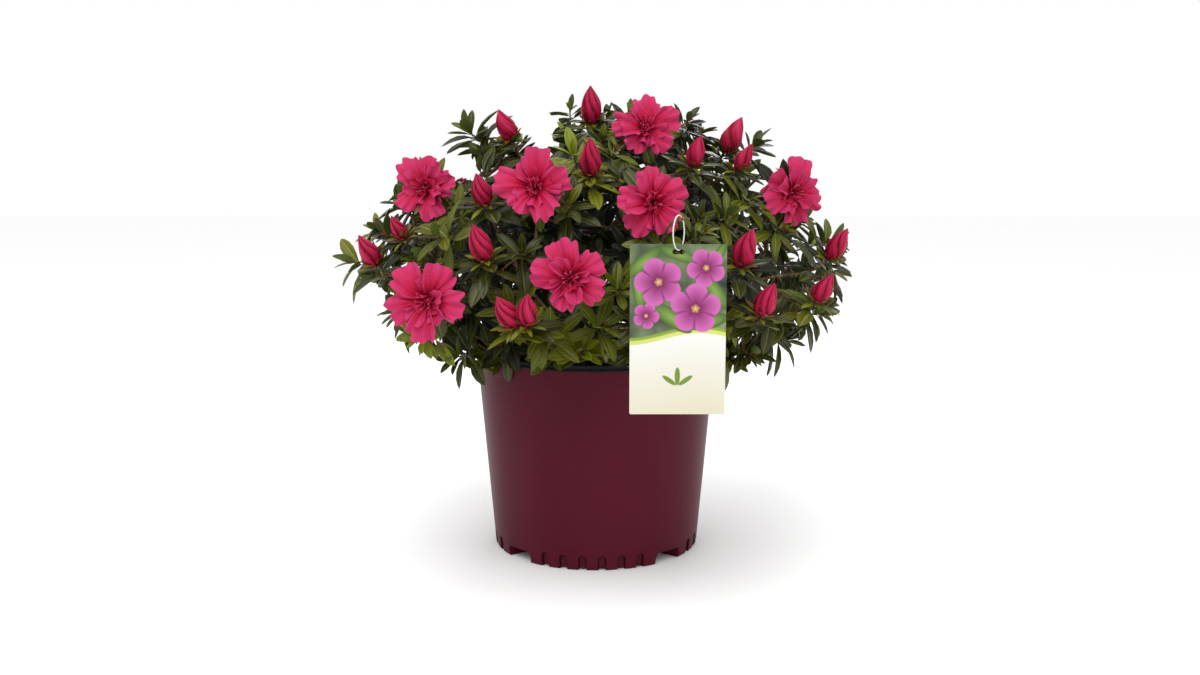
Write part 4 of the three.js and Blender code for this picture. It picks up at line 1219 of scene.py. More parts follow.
def petal(turn, ring, opening, length, random):
    """A petal round the Z axis, and for each of its points how far out and how far aside it lies."""
    across, down = np.linspace(-1, 1, ring.columns), np.linspace(0, 1, ring.rows) ** 0.85
    aside, out = np.meshgrid(across, down)
    phases = random.uniform(0, 2 * math.pi, 6)
    notch = NOTCH * np.abs(np.sin(NOTCH_WAVES * aside + phases[0])) ** 0.6 - 0.08
    notch += FINE_NOTCH * np.sin(FINE_NOTCH_WAVES * ring.frills * aside + phases[1])
    reach = out * (1 - ring.lobe * np.abs(aside) ** LOBE_CURVE + notch * out)
    # The petal's midline: it leaves the tube and leans out more and more
    steps = np.linspace(0, 1, PROFILE_STEPS)
    bend = np.clip((steps - BEND_FROM) / BEND_OVER, 0, 1) ** 0.8
    lean = np.radians(ring.foot + (opening - ring.foot) * bend)
    radius_at = TUBE_RADIUS + np.cumsum(np.sin(lean)) * length / PROFILE_STEPS
    height_at = np.cumsum(np.cos(lean)) * length / PROFILE_STEPS
    radius, height, lean_here = (np.interp(reach, steps, line) for line in (radius_at, height_at, lean))
    # Waves, a frill at the margin, a lifted edge, a crease along the middle and fine crinkles
    broad, narrow = RUFFLE_WAVES
    wave = np.sin(aside * broad + phases[2]) + 0.5 * np.sin(aside * narrow + phases[3] + 2 * out)
    rise = ring.ruffle * wave * out**2 * 0.6
    rise += FRILL * np.sin(aside * FRILL_WAVES * ring.frills + phases[4] + np.sin(4 * out)) * out**4
    crease = CREASE * np.exp(-((aside / CREASE_WIDTH) ** 2)) * out * (1.1 - out)
    rise += OVERLAP_LIFT * aside * out - crease
    rise += CRINKLE * np.sin(aside * CRINKLE_WAVES * ring.frills + phases[5]) * out * (1 - out) * 2
    radius = radius - rise * np.cos(lean_here)
    height = height + rise * np.sin(lean_here)
    angle = np.radians(turn + aside * ring.half_angle * (1 - 0.1 * out))
    points = np.stack([radius * np.sin(angle), -radius * np.cos(angle), height], axis=2)
    return points, np.stack([out, aside], axis=2)


def stand_on(points, place, axis, spin):
    """Turns what is modelled along +Z to a place and an axis, after a spin about its own axis."""
    turn = Vector((0, 0, 1)).rotation_difference(Vector(axis)).to_matrix() @ Matrix.Rotation(spin, 3, "Z")
    return np.asarray(points) @ np.array(turn).T + place


# %% Blooms
BLOOM_SUNK = 8 * MM
THREADS = 8
THREAD_STEPS = 6
THREAD_SIDES = 5
THREAD_RADII = [0.45 * MM] * THREAD_STEPS
ANTHER_RADII = [0.3 * MM, 1.0 * MM, 0.4 * MM]
ANTHER_HEIGHTS = [0, 1.2 * MM, 2.6 * MM]


def thread_line(turn, high):
    """A thread that rises from the flower's throat and bends out."""
    out = turned([1, 0, 0], [0, 0, 1], turn)
    controls = np.outer([1.5, 3, 5, 7], out) * MM + np.outer([0, 0.5, 0.8, 1], UP) * high
    return bezier(controls, np.linspace(0, 1, THREAD_STEPS))


def bloom(petals, threads, shoot, random):
    size = random.uniform(0.96, 1.06)
    spin = random.uniform(0, 2 * math.pi)
    place = shoot["tip"] - shoot["axis"] * BLOOM_SUNK
    for ring in RINGS:
        for number in range(ring.petals):
            turn = ring.turn + number * 360 / ring.petals + random.normal(0, 7)
            opening = ring.rim + random.normal(0, ring.spread)
            length = ring.length * size * random.uniform(0.85, 1.07)
            points, marks = petal(turn, ring, opening, length, random)
            shell, faces = closed_sheet(points, PETAL_THICKNESS)
            both = np.concatenate([marks.reshape(-1, 2)] * 2)
            petals.add(stand_on(shell, place, shoot["axis"], spin), faces, ring.slot, both)
    for number in range(THREADS):
        line = thread_line(number * 360 / THREADS + random.uniform(0, 40), random.uniform(24, 32) * MM)
        anther = line[-1] + np.outer(ANTHER_HEIGHTS, UP)
        for slot, (part, radii) in enumerate([(line, THREAD_RADII), (anther, ANTHER_RADII)]):
            shell, faces = tube(part, radii, THREAD_SIDES)
            threads.add(stand_on(shell, place, shoot["axis"], spin), faces, slot)


# %% [markdown]
# ## Petal colours
# A hot, slightly blue pink, deepest in the throat and palest at the ruffled margin. The petal's own
# mark, how far out a point lies, drives a colour ramp. Fine veins run out from the foot, so their
# pattern follows the other mark, how far aside. A little subsurface light keeps the thin sheets soft.


# %% Petal materials
PETAL_VEINS = 34.0
PETAL_SHIFT = 0.14
PETAL_LIGHT = {"Subsurface_Weight": 0.1, "Subsurface_Scale": 2 * MM, "Specular_IOR_Level": 0.12}
PETAL_SCATTER = (1.0, 0.25, 0.35)


def petal_material(name, throat, middle, margin, roughness):
    material, tree, shader = new_material(name, middle, roughness, **PETAL_LIGHT)
    shader.inputs["Subsurface Radius"].default_value = PETAL_SCATTER
    marks = marks_of(tree)
    cloud = cloud_noise(tree, 90, 3)
    inputs = {"Value": cloud, "To Min": -PETAL_SHIFT, "To Max": PETAL_SHIFT}
    shift = add_node(tree, "ShaderNodeMapRange", inputs).outputs[0]
    stops = [(0.18, throat), (0.55, middle), (0.97, margin)]
    color = color_ramp(tree, math_node(tree, "ADD", marks["X"], shift), stops)
    tree.links.new(color, shader.inputs["Base Color"])
    veins = math_node(tree, "SINE", math_node(tree, "MULTIPLY", marks["Y"], PETAL_VEINS))
    bump(tree, shader, math_node(tree, "MULTIPLY_ADD", veins, 0.4, cloud), 0.5, 0.5 * MM)
    return material


PETAL_PINK = petal_material("petal_pink", srgb(128, 3, 34), srgb(170, 17, 56), srgb(181, 49, 96), 0.62)
PETAL_DEEP = petal_material("petal_deep", srgb(128, 3, 33), srgb(169, 13, 51), srgb(185, 34, 75), 0.62)
THREAD_PINK = new_material("thread_pink", srgb(206, 52, 100), 0.5)[0]
ANTHER_BROWN = new_material("anther_brown", srgb(158, 62, 78), 0.6)[0]

# %% Bloom pieces
flower_random = np.random.default_rng(21)
petal_beds, thread_bed = {"front": Collector(), "back": Collector()}, Collector()
for shoot in shoots:
    if shoot["kind"] == "bloom":
        half = "front" if shoot["tip"][1] < 0 else "back"
        bloom(petal_beds[half], thread_bed, shoot, flower_random)
finishes = [PETAL_PINK, PETAL_DEEP]
petals = [bed.build(f"petals_{half}", finishes, sharp_above=70) for half, bed in petal_beds.items()]
threads = thread_bed.build("flower_threads", [THREAD_PINK, ANTHER_BROWN])

# %% [markdown]
# ## Buds
# A fat bud is a pointed spindle of furled petals. Each petal's free edge winds up it as a low step
# with a groove beside it, which painted shade darkens into a seam. The step is in the shape: the radius
# follows a sawtooth round the bud, and the sawtooth turns with the height. Small pointed bracts hold its
# foot. They are leaves of another size and tint, so the leaf tree above makes them as well.

# %% Buds
BUD_RADIUS = 10.4 * MM
BUD_HEIGHT = BUD_LENGTH + 4 * MM
BUD_FOOT = -6 * MM
BUD_COLUMNS, BUD_ROWS = 56, 20
BUD_FURLS = 5
FURL_STEP, FURL_RIPPLE = 0.2, 0.03
SEAM_DEPTH, SEAM_WIDTH = 0.12, 0.08
SEAM_SHADE, SEAM_SHADE_WIDTH = 0.42, 0.1
BUD_BEND = 1.2 * MM


def bud(buds, shoot, random):
    size = shoot.get("size", random.uniform(0.8, 1.04))
    plump = size * random.uniform(0.92, 1.04)
    twist = random.uniform(0.9, 1.7)
    rows, columns = np.linspace(0, 1, BUD_ROWS), np.arange(BUD_COLUMNS) / BUD_COLUMNS
    up, turn = np.meshgrid(rows, columns, indexing="ij")
    angle = 2 * math.pi * turn
    # The spindle's outline, then the furls that wind up it, each a step with a seam beside it
    outline = np.sin(math.pi * (0.09 + 0.91 * up) ** 0.8) ** 0.85 * (1.04 - 0.1 * up)
    outline = np.maximum(outline, 0.02)
    wander = 0.3 * np.sin(angle + twist) + 0.12 * np.sin(7 * up + angle * 2)
    furl = (turn * BUD_FURLS + twist * up + wander) % 1
    relief = FURL_STEP * (furl - 0.5) - SEAM_DEPTH * np.exp(-((furl / SEAM_WIDTH) ** 2))
    relief += FURL_RIPPLE * np.sin(furl * 13 + up * 5)
    radius = BUD_RADIUS * plump * outline * (1 + relief * np.sin(math.pi * up) ** 0.5)
    bend = np.sin(math.pi * up / 2) ** 2 * random.normal(0, BUD_BEND)
    height = BUD_FOOT + BUD_HEIGHT * size * up
    points = np.stack([radius * np.sin(angle) + bend, -radius * np.cos(angle), height], axis=2)
    faces = ring_faces(BUD_ROWS, BUD_COLUMNS)
    last = (BUD_ROWS - 1) * BUD_COLUMNS
    faces += [tuple(range(BUD_COLUMNS))[::-1], tuple(range(last, last + BUD_COLUMNS))]
    # Painted light and shade: each furl is darker in its fold, with painted shade in its seam, and paler at
    # its free edge as a painted highlight. The bud is also darker towards its foot.
    seam = np.exp(-((np.minimum(furl, 1 - furl) / SEAM_SHADE_WIDTH) ** 2))
    tone = 0.52 + SEAM_SHADE * (furl - seam) - 0.3 * (1 - up) ** 2 + 0.14 * np.sin(furl * 19 + 3 * up)
    place = stand_on(points.reshape(-1, 3), shoot["tip"], shoot["axis"], random.uniform(0, 6))
    # Where a bud would pass the frame's own box, it stands that much further back
    place -= np.maximum(place.max(0) - BOX_HIGH, 0) + np.minimum(place.min(0) - BOX_LOW, 0)
    buds.add(place, faces, 0, np.stack([tone, furl], axis=2))


# %% Bracts and scales
BRACT_TIERS = [  # scales, lean from the axis, out from it, length, width share, tint
    (7, 30, 3.2 * MM, 14 * MM, 0.4, "bract"),
    (7, 52, 2.6 * MM, 17 * MM, 0.26, "bract"),
    (6, 78, 2.2 * MM, 20 * MM, 0.26, "olive"),
]
TIER_DROP = 1.2 * MM
SCALES = {"leafy": 5, "outer": 3}
SCALE_LENGTH = 9 * MM
SCALE_WIDTH_SHARE = 0.34


def bracts(shoot, random):
    """Pointed scales round the foot of a bud or flower: short ones hug it, long narrow ones spread."""
    axis = shoot["axis"]
    made = []
    for tier, (count, lean, out, length, width, tint) in enumerate(BRACT_TIERS):
        for number in range(count):
            outward = turned(beside(axis), axis, (number + tier / 2) * 360 / count + random.normal(0, 9))
            along = leaned(axis, outward, lean + random.normal(0, 7))
            root = shoot["tip"] + axis * (BUD_FOOT - tier * TIER_DROP) + outward * out
            long = length * random.uniform(0.75, 1.15)
            made.append(leaf_record(root, along, axis, long, long * width, number % len(LEAF_WAYS), tint))
    return made


def scales(shoot, random):
    """Small brown scales that close the tip of a leafy shoot."""
    axis = shoot["axis"]
    made = []
    for number in range(SCALES[shoot["kind"]]):
        outward = turned(beside(axis), axis, number * GOLDEN_ANGLE)
        along = leaned(axis, outward, random.uniform(12, 34))
        long = SCALE_LENGTH * random.uniform(0.7, 1.2)
        root = shoot["tip"] + outward * MM
        made.append(leaf_record(root, along, axis, long, long * SCALE_WIDTH_SHARE, 0, "bract"))
    return made


BUD_PINK = petal_material("bud_pink", srgb(84, 2, 24), srgb(150, 12, 48), srgb(184, 44, 90), 0.5)
bud_bed = Collector()
bract_records = []
for shoot in shoots:
    if shoot["kind"] == "bud":
        bud(bud_bed, shoot, flower_random)
    if shoot["kind"] in HEAD_FOOT:
        bract_records += bracts(shoot, flower_random)
for shoot in shoots + fine:
    end = shoot["tip"] + shoot["axis"] * SCALE_LENGTH
    if shoot["kind"] in SCALES and not shoot["is_left_out"] and is_free(end[None], EDGE_LIMIT):
        bract_records += scales(shoot, flower_random)
buds = bud_bed.build("flower_buds", [BUD_PINK])
bract_scales = leaves_on_points("bud_bracts", bract_records)

# %% [markdown]
# ## Pot
# A blow-moulded nursery pot: a thin tapering wall, a collar that steps out under the lip, and a foot
# that is scalloped by arched dents between four drain openings. All of that is one function: the
# wall's radius for each azimuth and height. An opening is only a very deep dent. So one grid of
# points makes outside, foot and inside as a single closed skin, with no cutting. The skin's mark
# tells the material where a dent's edge runs, and the material paints shade along it.

# %% Wall
FOOT_TURN = -2.0
OPENINGS = 4
OPENING_WIDTH = 38 * MM
OPENING_HEIGHT = 13.5 * MM
OPENING_DEPTH = 45 * MM
OPENING_CORNER = 7 * MM
OPENING_ROOF = 2.4 * MM
DENTS_BETWEEN = 6
DENT_SPACING = 10.5
DENT_WIDTH = 8.5 * MM
DENT_HEIGHT = 17 * MM
DENT_DEPTH = 2.9 * MM
DENT_EDGE = 0.5 * MM
DENT_SHADE = 0.7 * MM
FOOT_ROUND = 2.2 * MM
FOOT_TUCK = 1.6 * MM
FOOT_LIFT = 1.7 * MM
COLLAR_HEIGHT = 14 * MM
COLLAR_STEP = 1 * MM
WALL = 3.2 * MM
WALL_TOP_RADIUS = 144 * MM
FLOOR = 3 * MM
POT_TOP = POT_BOX[1].z
TAPER = (WALL_TOP_RADIUS - POT_FOOT_RADIUS) / POT_HEIGHT
COLLAR = POT_TOP - COLLAR_HEIGHT
OUTSIDE, INSIDE = 0, 1
OPENING_TURNS = [360 / OPENINGS * (number + 0.5) + FOOT_TURN for number in range(OPENINGS)]
DENT_TURNS = [
    360 / OPENINGS * sector + DENT_SPACING * (number - (DENTS_BETWEEN - 1) / 2) + FOOT_TURN
    for sector in range(OPENINGS)
    for number in range(DENTS_BETWEEN)
]


def ease(low, high, values):
    """Goes smoothly from 0 at low to 1 at high."""
    share = np.clip((values - low) / (high - low), 0, 1)
    return share * share * (3 - 2 * share)


def aside_of(turn, middle):
    """How far a place on the foot lies aside from an azimuth, along the wall."""
    return np.radians((turn - middle + 180) % 360 - 180) * POT_FOOT_RADIUS


def opening_cut(turn, height, roof):
    """How deep the drain openings cut in. A roof makes them larger, for the skin on the inside."""
    cut = np.zeros_like(turn)
    for middle in OPENING_TURNS:
        past_side = np.abs(aside_of(turn, middle)) - OPENING_WIDTH / 2 - roof + OPENING_CORNER
        past_top = height - OPENING_HEIGHT - roof + OPENING_CORNER
        is_in = np.hypot(np.maximum(past_side, 0), np.maximum(past_top, 0)) < OPENING_CORNER
        cut = np.where(is_in, OPENING_DEPTH + roof, cut)
    return cut


def dent_edge(turn, height, middle):
    """How far outside an arched dent a place lies. Below 0 it is inside."""
    above = np.maximum(height - DENT_HEIGHT + DENT_WIDTH / 2, 0)
    return np.hypot(aside_of(turn, middle), above) - DENT_WIDTH / 2


def dent_share(turn, height):
    """From 0 on the wall to 1 in the arched dents."""
    return sum(ease(DENT_EDGE, -DENT_EDGE, dent_edge(turn, height, middle)) for middle in DENT_TURNS)


def painted_dent_shade(turn, height):
    """1 along the edges of the arched dents, where the wall gets painted shade, and 0 elsewhere."""
    away = [(dent_edge(turn, height, middle) + DENT_EDGE) / DENT_SHADE for middle in DENT_TURNS]
    return np.exp(-(np.abs(away).min(axis=0) ** 2))


def wall_radius(turn, height):
    """The wall's outer radius for arrays of azimuths, in degrees, and heights."""
    radius = POT_FOOT_RADIUS + TAPER * height - COLLAR_STEP * height / COLLAR * (height < COLLAR)
    radius -= FOOT_TUCK * (1 - np.clip(height / FOOT_ROUND, 0, 1)) ** 2
    return radius - DENT_DEPTH * dent_share(turn, height) - opening_cut(turn, height, 0)


def steps_between(stops):
    """Places from stop to stop (place, count up to the next), evenly within each stretch."""
    steps = []
    for (low, count), (high, _) in zip(stops, stops[1:]):
        steps += list(np.linspace(low, high, count, endpoint=False))
    return np.array(steps + [stops[-1][0]])


DENT_COLUMNS = [-3.4, -1.8, -0.9, -0.3, 0.3, 0.9]  # in dent edges, from the dent's side
CORNER_COLUMNS = [1, 0.62, 0.36, 0.2, 0.09, 0.02, -0.02]  # in corner radii, from the opening's side
COLUMN_TURN = 1.25
LEAST_TURN = 0.02


def columns():
    """Azimuths that crowd together at the edges of dents and openings, where the wall bends most."""
    dent = DENT_WIDTH / 2 + DENT_EDGE * np.array(DENT_COLUMNS)
    opening = OPENING_WIDTH / 2 - OPENING_CORNER * np.array(CORNER_COLUMNS)
    roof = OPENING_WIDTH / 2 + OPENING_ROOF + np.array([-0.1, 0.1]) * MM
    turns = list(np.arange(0, 360, COLUMN_TURN))
    for middles, offsets in ((DENT_TURNS, dent), (OPENING_TURNS, np.concatenate([opening, roof]))):
        for middle in middles:
            turns += list(middle + np.degrees(np.concatenate([offsets, -offsets]) / POT_FOOT_RADIUS))
    turns = np.sort(np.array(turns) % 360)
    return turns[np.append(True, np.diff(turns) > LEAST_TURN)]


def pot_skin():
    """The outside from the foot up, then the inside from the lip down, closed at both ends."""
    turns = columns()
    roof_top = OPENING_HEIGHT + OPENING_ROOF
    outer_stops = [(0, 4), (FOOT_ROUND, 7), (OPENING_HEIGHT - OPENING_CORNER, 10), (OPENING_HEIGHT, 8)]
    outer_stops += [(DENT_HEIGHT + 1 * MM, 3), (30 * MM, 5), (COLLAR - 3 * MM, 3), (COLLAR, 4)]
    outer_stops += [(COLLAR + 1 * MM, 4), (POT_TOP, 0)]
    inner_stops = [(POT_TOP, 4), (roof_top + 6 * MM, 2), (roof_top + 0.1 * MM, 1), (roof_top, 8), (FLOOR, 0)]
    outer_turn, outer_height = np.meshgrid(turns, steps_between(outer_stops))
    inner_turn, inner_height = np.meshgrid(turns, steps_between(inner_stops))
    inner_radius = POT_FOOT_RADIUS + TAPER * inner_height - WALL
    inner_radius -= opening_cut(inner_turn, inner_height, OPENING_ROOF)
    radius = np.concatenate([wall_radius(outer_turn, outer_height), inner_radius])
    lift = FOOT_LIFT * dent_share(outer_turn, outer_height) * (1 - ease(0, 3 * FOOT_ROUND, outer_height))
    height = np.concatenate([outer_height + lift, inner_height])
    angle = np.radians(np.concatenate([outer_turn, inner_turn]))
    points = np.stack([radius * np.sin(angle), -radius * np.cos(angle), height], axis=2).reshape(-1, 3)
    sides, rings = len(turns), len(radius)
    faces = ring_faces(rings, sides)
    slots = [OUTSIDE] * (len(outer_turn) - 1) * sides + [INSIDE] * (rings - len(outer_turn)) * sides
    under, over = rings * sides, rings * sides + 1
    last = (rings - 1) * sides
    faces += [(under, (k + 1) % sides, k) for k in range(sides)]
    faces += [(over, last + k, last + (k + 1) % sides) for k in range(sides)]
    slots += [OUTSIDE] * sides + [INSIDE] * sides
    marks = np.zeros((len(points) + 2, 2))
    marks[: outer_turn.size, 0] = painted_dent_shade(outer_turn, outer_height).ravel()
    return np.concatenate([points, [[0, 0, 0], [0, 0, FLOOR]]]), faces, slots, marks


pot_wall = Collector()
pot_wall.add(*pot_skin())


# %% Plastics
PEEL_SCALE = 700
PEEL_DEPTH = 0.12 * MM
DENT_SHADOW = 0.35


def plastic(name, dark, light, roughness, scale, grain):
    """Moulded plastic: faint clouds in the colour, painted shade along the dents' edges, a roughness that
    wanders and a fine orange peel.
    """
    lowest, highest = roughness
    material, tree, shader = new_material(name, light, lowest, Specular_IOR_Level=0.07)
    cloud = cloud_noise(tree, scale, 3, (1, 1, 0.6))
    color = color_ramp(tree, cloud, [(0.3, dark), (0.7, light)])
    # Painted shade: where the mark runs along a dent's edge, the colour darkens towards DENT_SHADOW times the
    # dark colour
    color = mix_color(tree, marks_of(tree)["X"], color, [DENT_SHADOW * part for part in dark])
    tree.links.new(color, shader.inputs["Base Color"])
    wander = add_node(tree, "ShaderNodeMapRange", {"Value": cloud, "To Min": lowest, "To Max": highest})
    tree.links.new(wander.outputs[0], shader.inputs["Roughness"])
    bump(tree, shader, cloud_noise(tree, PEEL_SCALE, 2), grain, PEEL_DEPTH)
    return material


BURGUNDY = plastic("burgundy_plastic", srgb(73, 16, 31), srgb(81, 20, 36), (0.36, 0.44), 9, 0.2)
BLACK = plastic("black_plastic", srgb(17, 17, 18), srgb(30, 30, 32), (0.36, 0.5), 30, 0.3)
pot = pot_wall.build("pot_wall", [BURGUNDY, BLACK], sharp_above=38)

# %% [markdown]
# ## Lip and potting mix
# The lip is a rolled black band on top of the wall: its outline is turned once round the axis. The mix
# keeps the frame's own solid, with a dark, crumbly finish. What one sees of it is loose bark, so
# Geometry Nodes scatter chips over its top: points at least a set distance apart, a chip of one of
# several shapes on each, turned and sized at random with a fixed seed.

# %% Lip
LIP_LOW, LIP_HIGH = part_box("pot_rim")
LIP_COLUMNS = 240
LIP_OUTLINE = [  # out from the wall's inner face, up from the lip's underside, in millimetres
    (0, 0), (2.6, 0), (3.6, -0.0), (4.5, 0.5), (4.7, 1.5), (4.2, 2.5), (3.9, 3.6), (3.9, 5.0),
    (4.3, 6.1), (4.6, 6.9), (4.3, 7.6), (3.5, 8.0), (2.4, 8.0), (1.3, 7.6), (0.6, 6.6), (0.2, 3.0),
]  # fmt: skip


def wrapped(faces, count):
    """Joins the last ring of points to the first."""
    return [tuple(k % count for k in face) for face in faces]


def revolve(outline, columns):
    """Turns a closed outline of (radius, height) once round the Z axis."""
    angles = np.arange(columns) * 2 * math.pi / columns
    points = np.array([(r * math.sin(a), -r * math.cos(a), z) for a in angles for r, z in outline])
    return points, [face[::-1] for face in wrapped(ring_faces(columns + 1, len(outline)), len(points))]


lip_inner = LIP_HIGH.x - 4.7 * MM
lip_outline = [(lip_inner + out * MM, LIP_LOW.z + up * MM) for out, up in LIP_OUTLINE]
lip_bed = Collector()
lip_bed.add(*revolve(lip_outline, LIP_COLUMNS))
lip = lip_bed.build("pot_lip", [BLACK], sharp_above=60)

# %% Potting mix
MIX_STOPS = [(0.35, srgb(18, 13, 10)), (0.55, srgb(44, 31, 23)), (0.72, srgb(88, 66, 48))]
MIX_BARK = grainy_material("potting_mix", srgb(36, 26, 20), 0.95, MIX_STOPS, 240, 5, (1.0, 2 * MM))
mix_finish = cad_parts["potting_mix"].data.materials
mix_finish.clear()
mix_finish.append(MIX_BARK)
print("potting mix: level at", round(MIX_LEVEL / MM), "mm")

# %% Bark chips
CHIP_STOPS = [(0.3, srgb(34, 23, 17)), (0.5, srgb(74, 50, 34)), (0.7, srgb(112, 84, 60))]
CHIP_BARK = grainy_material("bark_chips", srgb(70, 48, 34), 0.9, CHIP_STOPS, 160, 5, (0.8, 1 * MM))
CHIP_KINDS = 6
CHIP_SPACING = 4.5 * MM
CHIP_SIZES = (6 * MM, 15 * MM)
CHIP_DENSITY = 60000.0
CHIP_TILT = 0.5
CHIP_SEED = 3
SURFACE_SIDES = 48
SURFACE_MARGIN = 7 * MM
SURFACE_SUNK = 0.5 * MM
TRUNK_ROOM = 24 * MM


def chip_shape(name, random):
    """A broken flake of bark: a box of eight corners pushed about, with a ridge along its back."""
    corners = np.array([(x, y, z) for z in (-0.5, 0.5) for y in (-0.5, 0.5) for x in (-0.5, 0, 0.5)])
    corners = corners * [1, 0.62, 0.3] + random.normal(0, 0.06, corners.shape)
    corners[[7, 10], 2] += 0.1
    faces = [(0, 3, 4, 1), (1, 4, 5, 2), (6, 7, 10, 9), (7, 8, 11, 10), (0, 1, 7, 6), (1, 2, 8, 7)]
    faces += [(3, 9, 10, 4), (4, 10, 11, 5), (0, 6, 9, 3), (2, 5, 11, 8)]
    mesh = bpy.data.meshes.new(name)
    mesh.from_pydata(corners.tolist(), [], faces)
    return bpy.data.objects.new(name, mesh)


def mix_surface():
    """The disc that the chips lie on, a little inside the wall and clear of the trunk's flare."""
    angles = np.linspace(0, 2 * math.pi, SURFACE_SIDES, endpoint=False)
    outer = POT_FOOT_RADIUS + TAPER * MIX_LEVEL - WALL - SURFACE_MARGIN
    level = MIX_LEVEL - SURFACE_SUNK
    points = [(r * math.sin(a), -r * math.cos(a), level) for r in (outer, TRUNK_ROOM) for a in angles]
    mesh = bpy.data.meshes.new("mix surface")
    mesh.from_pydata(points, [], ring_faces(2, SURFACE_SIDES))
    return into_scene("mix surface", mesh)


def scatter_chips(surface, shapes, name):
    sizes = {"Shapes": "Collection", "Spacing": "Float", "Smallest": "Float", "Largest": "Float"}
    tree, given = geometry_tree("scattered chips", {**sizes, "Seed": "Int", "Bark": "Material"})
    seed = {"Seed": given["Seed"]}
    inputs = {"Mesh": given["Geometry"], "Distance Min": given["Spacing"], **seed}
    inputs["Density Max"] = CHIP_DENSITY
    spots = add_node(tree, "GeometryNodeDistributePointsOnFaces", inputs, distribute_method="POISSON")
    inputs = {0: (-CHIP_TILT, -CHIP_TILT, 0), 1: (CHIP_TILT, CHIP_TILT, 2 * math.pi), **seed}
    turn = add_node(tree, "FunctionNodeRandomValue", inputs, data_type="FLOAT_VECTOR").outputs[0]
    inputs = {2: given["Smallest"], 3: given["Largest"], **seed}
    size = add_node(tree, "FunctionNodeRandomValue", inputs, data_type="FLOAT").outputs[1]
    inputs = {4: 0, 5: CHIP_KINDS - 1, **seed}
    which = add_node(tree, "FunctionNodeRandomValue", inputs, data_type="INT").outputs[2]
    real = shapes_on_points(tree, spots.outputs["Points"], given["Shapes"], which, turn, size)
    smallest, largest = CHIP_SIZES
    values = {"Shapes": shapes, "Spacing": CHIP_SPACING, "Smallest": smallest, "Largest": largest}
    values |= {"Seed": CHIP_SEED, "Bark": CHIP_BARK}
    return run_tree(surface, tree, painted(tree, real, given["Bark"]), values, name)


chip_random = np.random.default_rng(9)
chip_shapes = bpy.data.collections.new("chip shapes")
for number in range(CHIP_KINDS):
    chip_shapes.objects.link(chip_shape(f"chip_{number}", chip_random))
chips = scatter_chips(mix_surface(), chip_shapes, "bark_mulch")

# %% [markdown]
# ## Hang tag
# A thin printed card hangs on a moulded loop. The card is a flat curve with a slot in it, given a
# thickness and turned upright. Its print is a plain garden design made by nodes: a green field with
# round violet blossoms, a lime sweep below it and a cream foot with a small sprig of three leaves.
# The pattern reads Object coordinates, which a Mapping node first centres on the card.

# %% Card
TAG_MIDDLE = (TAG_LOW + TAG_HIGH) / 2
TAG_SIZE = TAG_HIGH - TAG_LOW
CARD_THICKNESS = 0.7 * MM
CARD_CORNER = 1.5 * MM
SLOT_HALF_WIDTH = 6 * MM
SLOT_HALF_HEIGHT = 2.5 * MM
SLOT_CORNER = SLOT_HALF_HEIGHT * 0.98
SLOT_BELOW = 5 * MM


def flat_line(data, points):
    line = data.splines.new("POLY")
    line.points.add(len(points) - 1)
    line.points.foreach_set("co", np.array([(x, z, 0, 1) for x, z in points]).ravel())
    line.use_cyclic_u = True


def rounded_box(half_width, half_height, corner, steps=6):
    points = []
    for quarter, (sx, sz) in enumerate([(1, 1), (-1, 1), (-1, -1), (1, -1)]):
        for angle in np.radians(np.linspace(quarter * 90, quarter * 90 + 90, steps)):
            x = sx * (half_width - corner) + corner * math.cos(angle)
            points.append((x, sz * (half_height - corner) + corner * math.sin(angle)))
    return points


def card():
    data = bpy.data.curves.new("card", "CURVE")
    data.dimensions = "2D"
    data.fill_mode = "BOTH"
    data.extrude = CARD_THICKNESS / 2
    flat_line(data, rounded_box(TAG_SIZE.x / 2, TAG_SIZE.z / 2, CARD_CORNER))
    slot_middle = TAG_SIZE.z / 2 - SLOT_BELOW - SLOT_HALF_HEIGHT
    slot = rounded_box(SLOT_HALF_WIDTH, SLOT_HALF_HEIGHT, SLOT_CORNER)
    flat_line(data, [(x, z + slot_middle) for x, z in slot[::-1]])
    holder = into_scene("card", data)
    mesh = bpy.data.meshes.new_from_object(holder.evaluated_get(bpy.context.evaluated_depsgraph_get()))
    bpy.data.objects.remove(holder)
    mesh.transform(Matrix.Translation(TAG_MIDDLE) @ Matrix.Rotation(math.radians(90), 4, "X"))
    return add_object("tag_card", mesh)


tag = card()


# %% Print helpers
def past(tree, value, edge, soft):
    """From 0 to 1 where a value passes an edge."""
    inputs = {"Value": value, "From Min": edge - soft, "From Max": edge + soft}
    return add_node(tree, "ShaderNodeMapRange", inputs).outputs[0]


def around(tree, place, at, long, wide, turn):
    """How far out a place lies in an ellipse, where 1 is its edge, and at what angle."""
    inputs = {"Vector": place, "Location": (at[0], 0, at[1]), "Rotation": (0, -math.radians(turn), 0)}
    inputs["Scale"] = (long, 1, wide)
    local = add_node(tree, "ShaderNodeMapping", inputs, vector_type="TEXTURE").outputs[0]
    parts = add_node(tree, "ShaderNodeSeparateXYZ", {0: local}).outputs
    x, z = parts["X"], parts["Z"]
    squares = math_node(tree, "ADD", math_node(tree, "MULTIPLY", x, x), math_node(tree, "MULTIPLY", z, z))
    return math_node(tree, "SQRT", squares), math_node(tree, "ARCTAN2", z, x)


# %% Card print

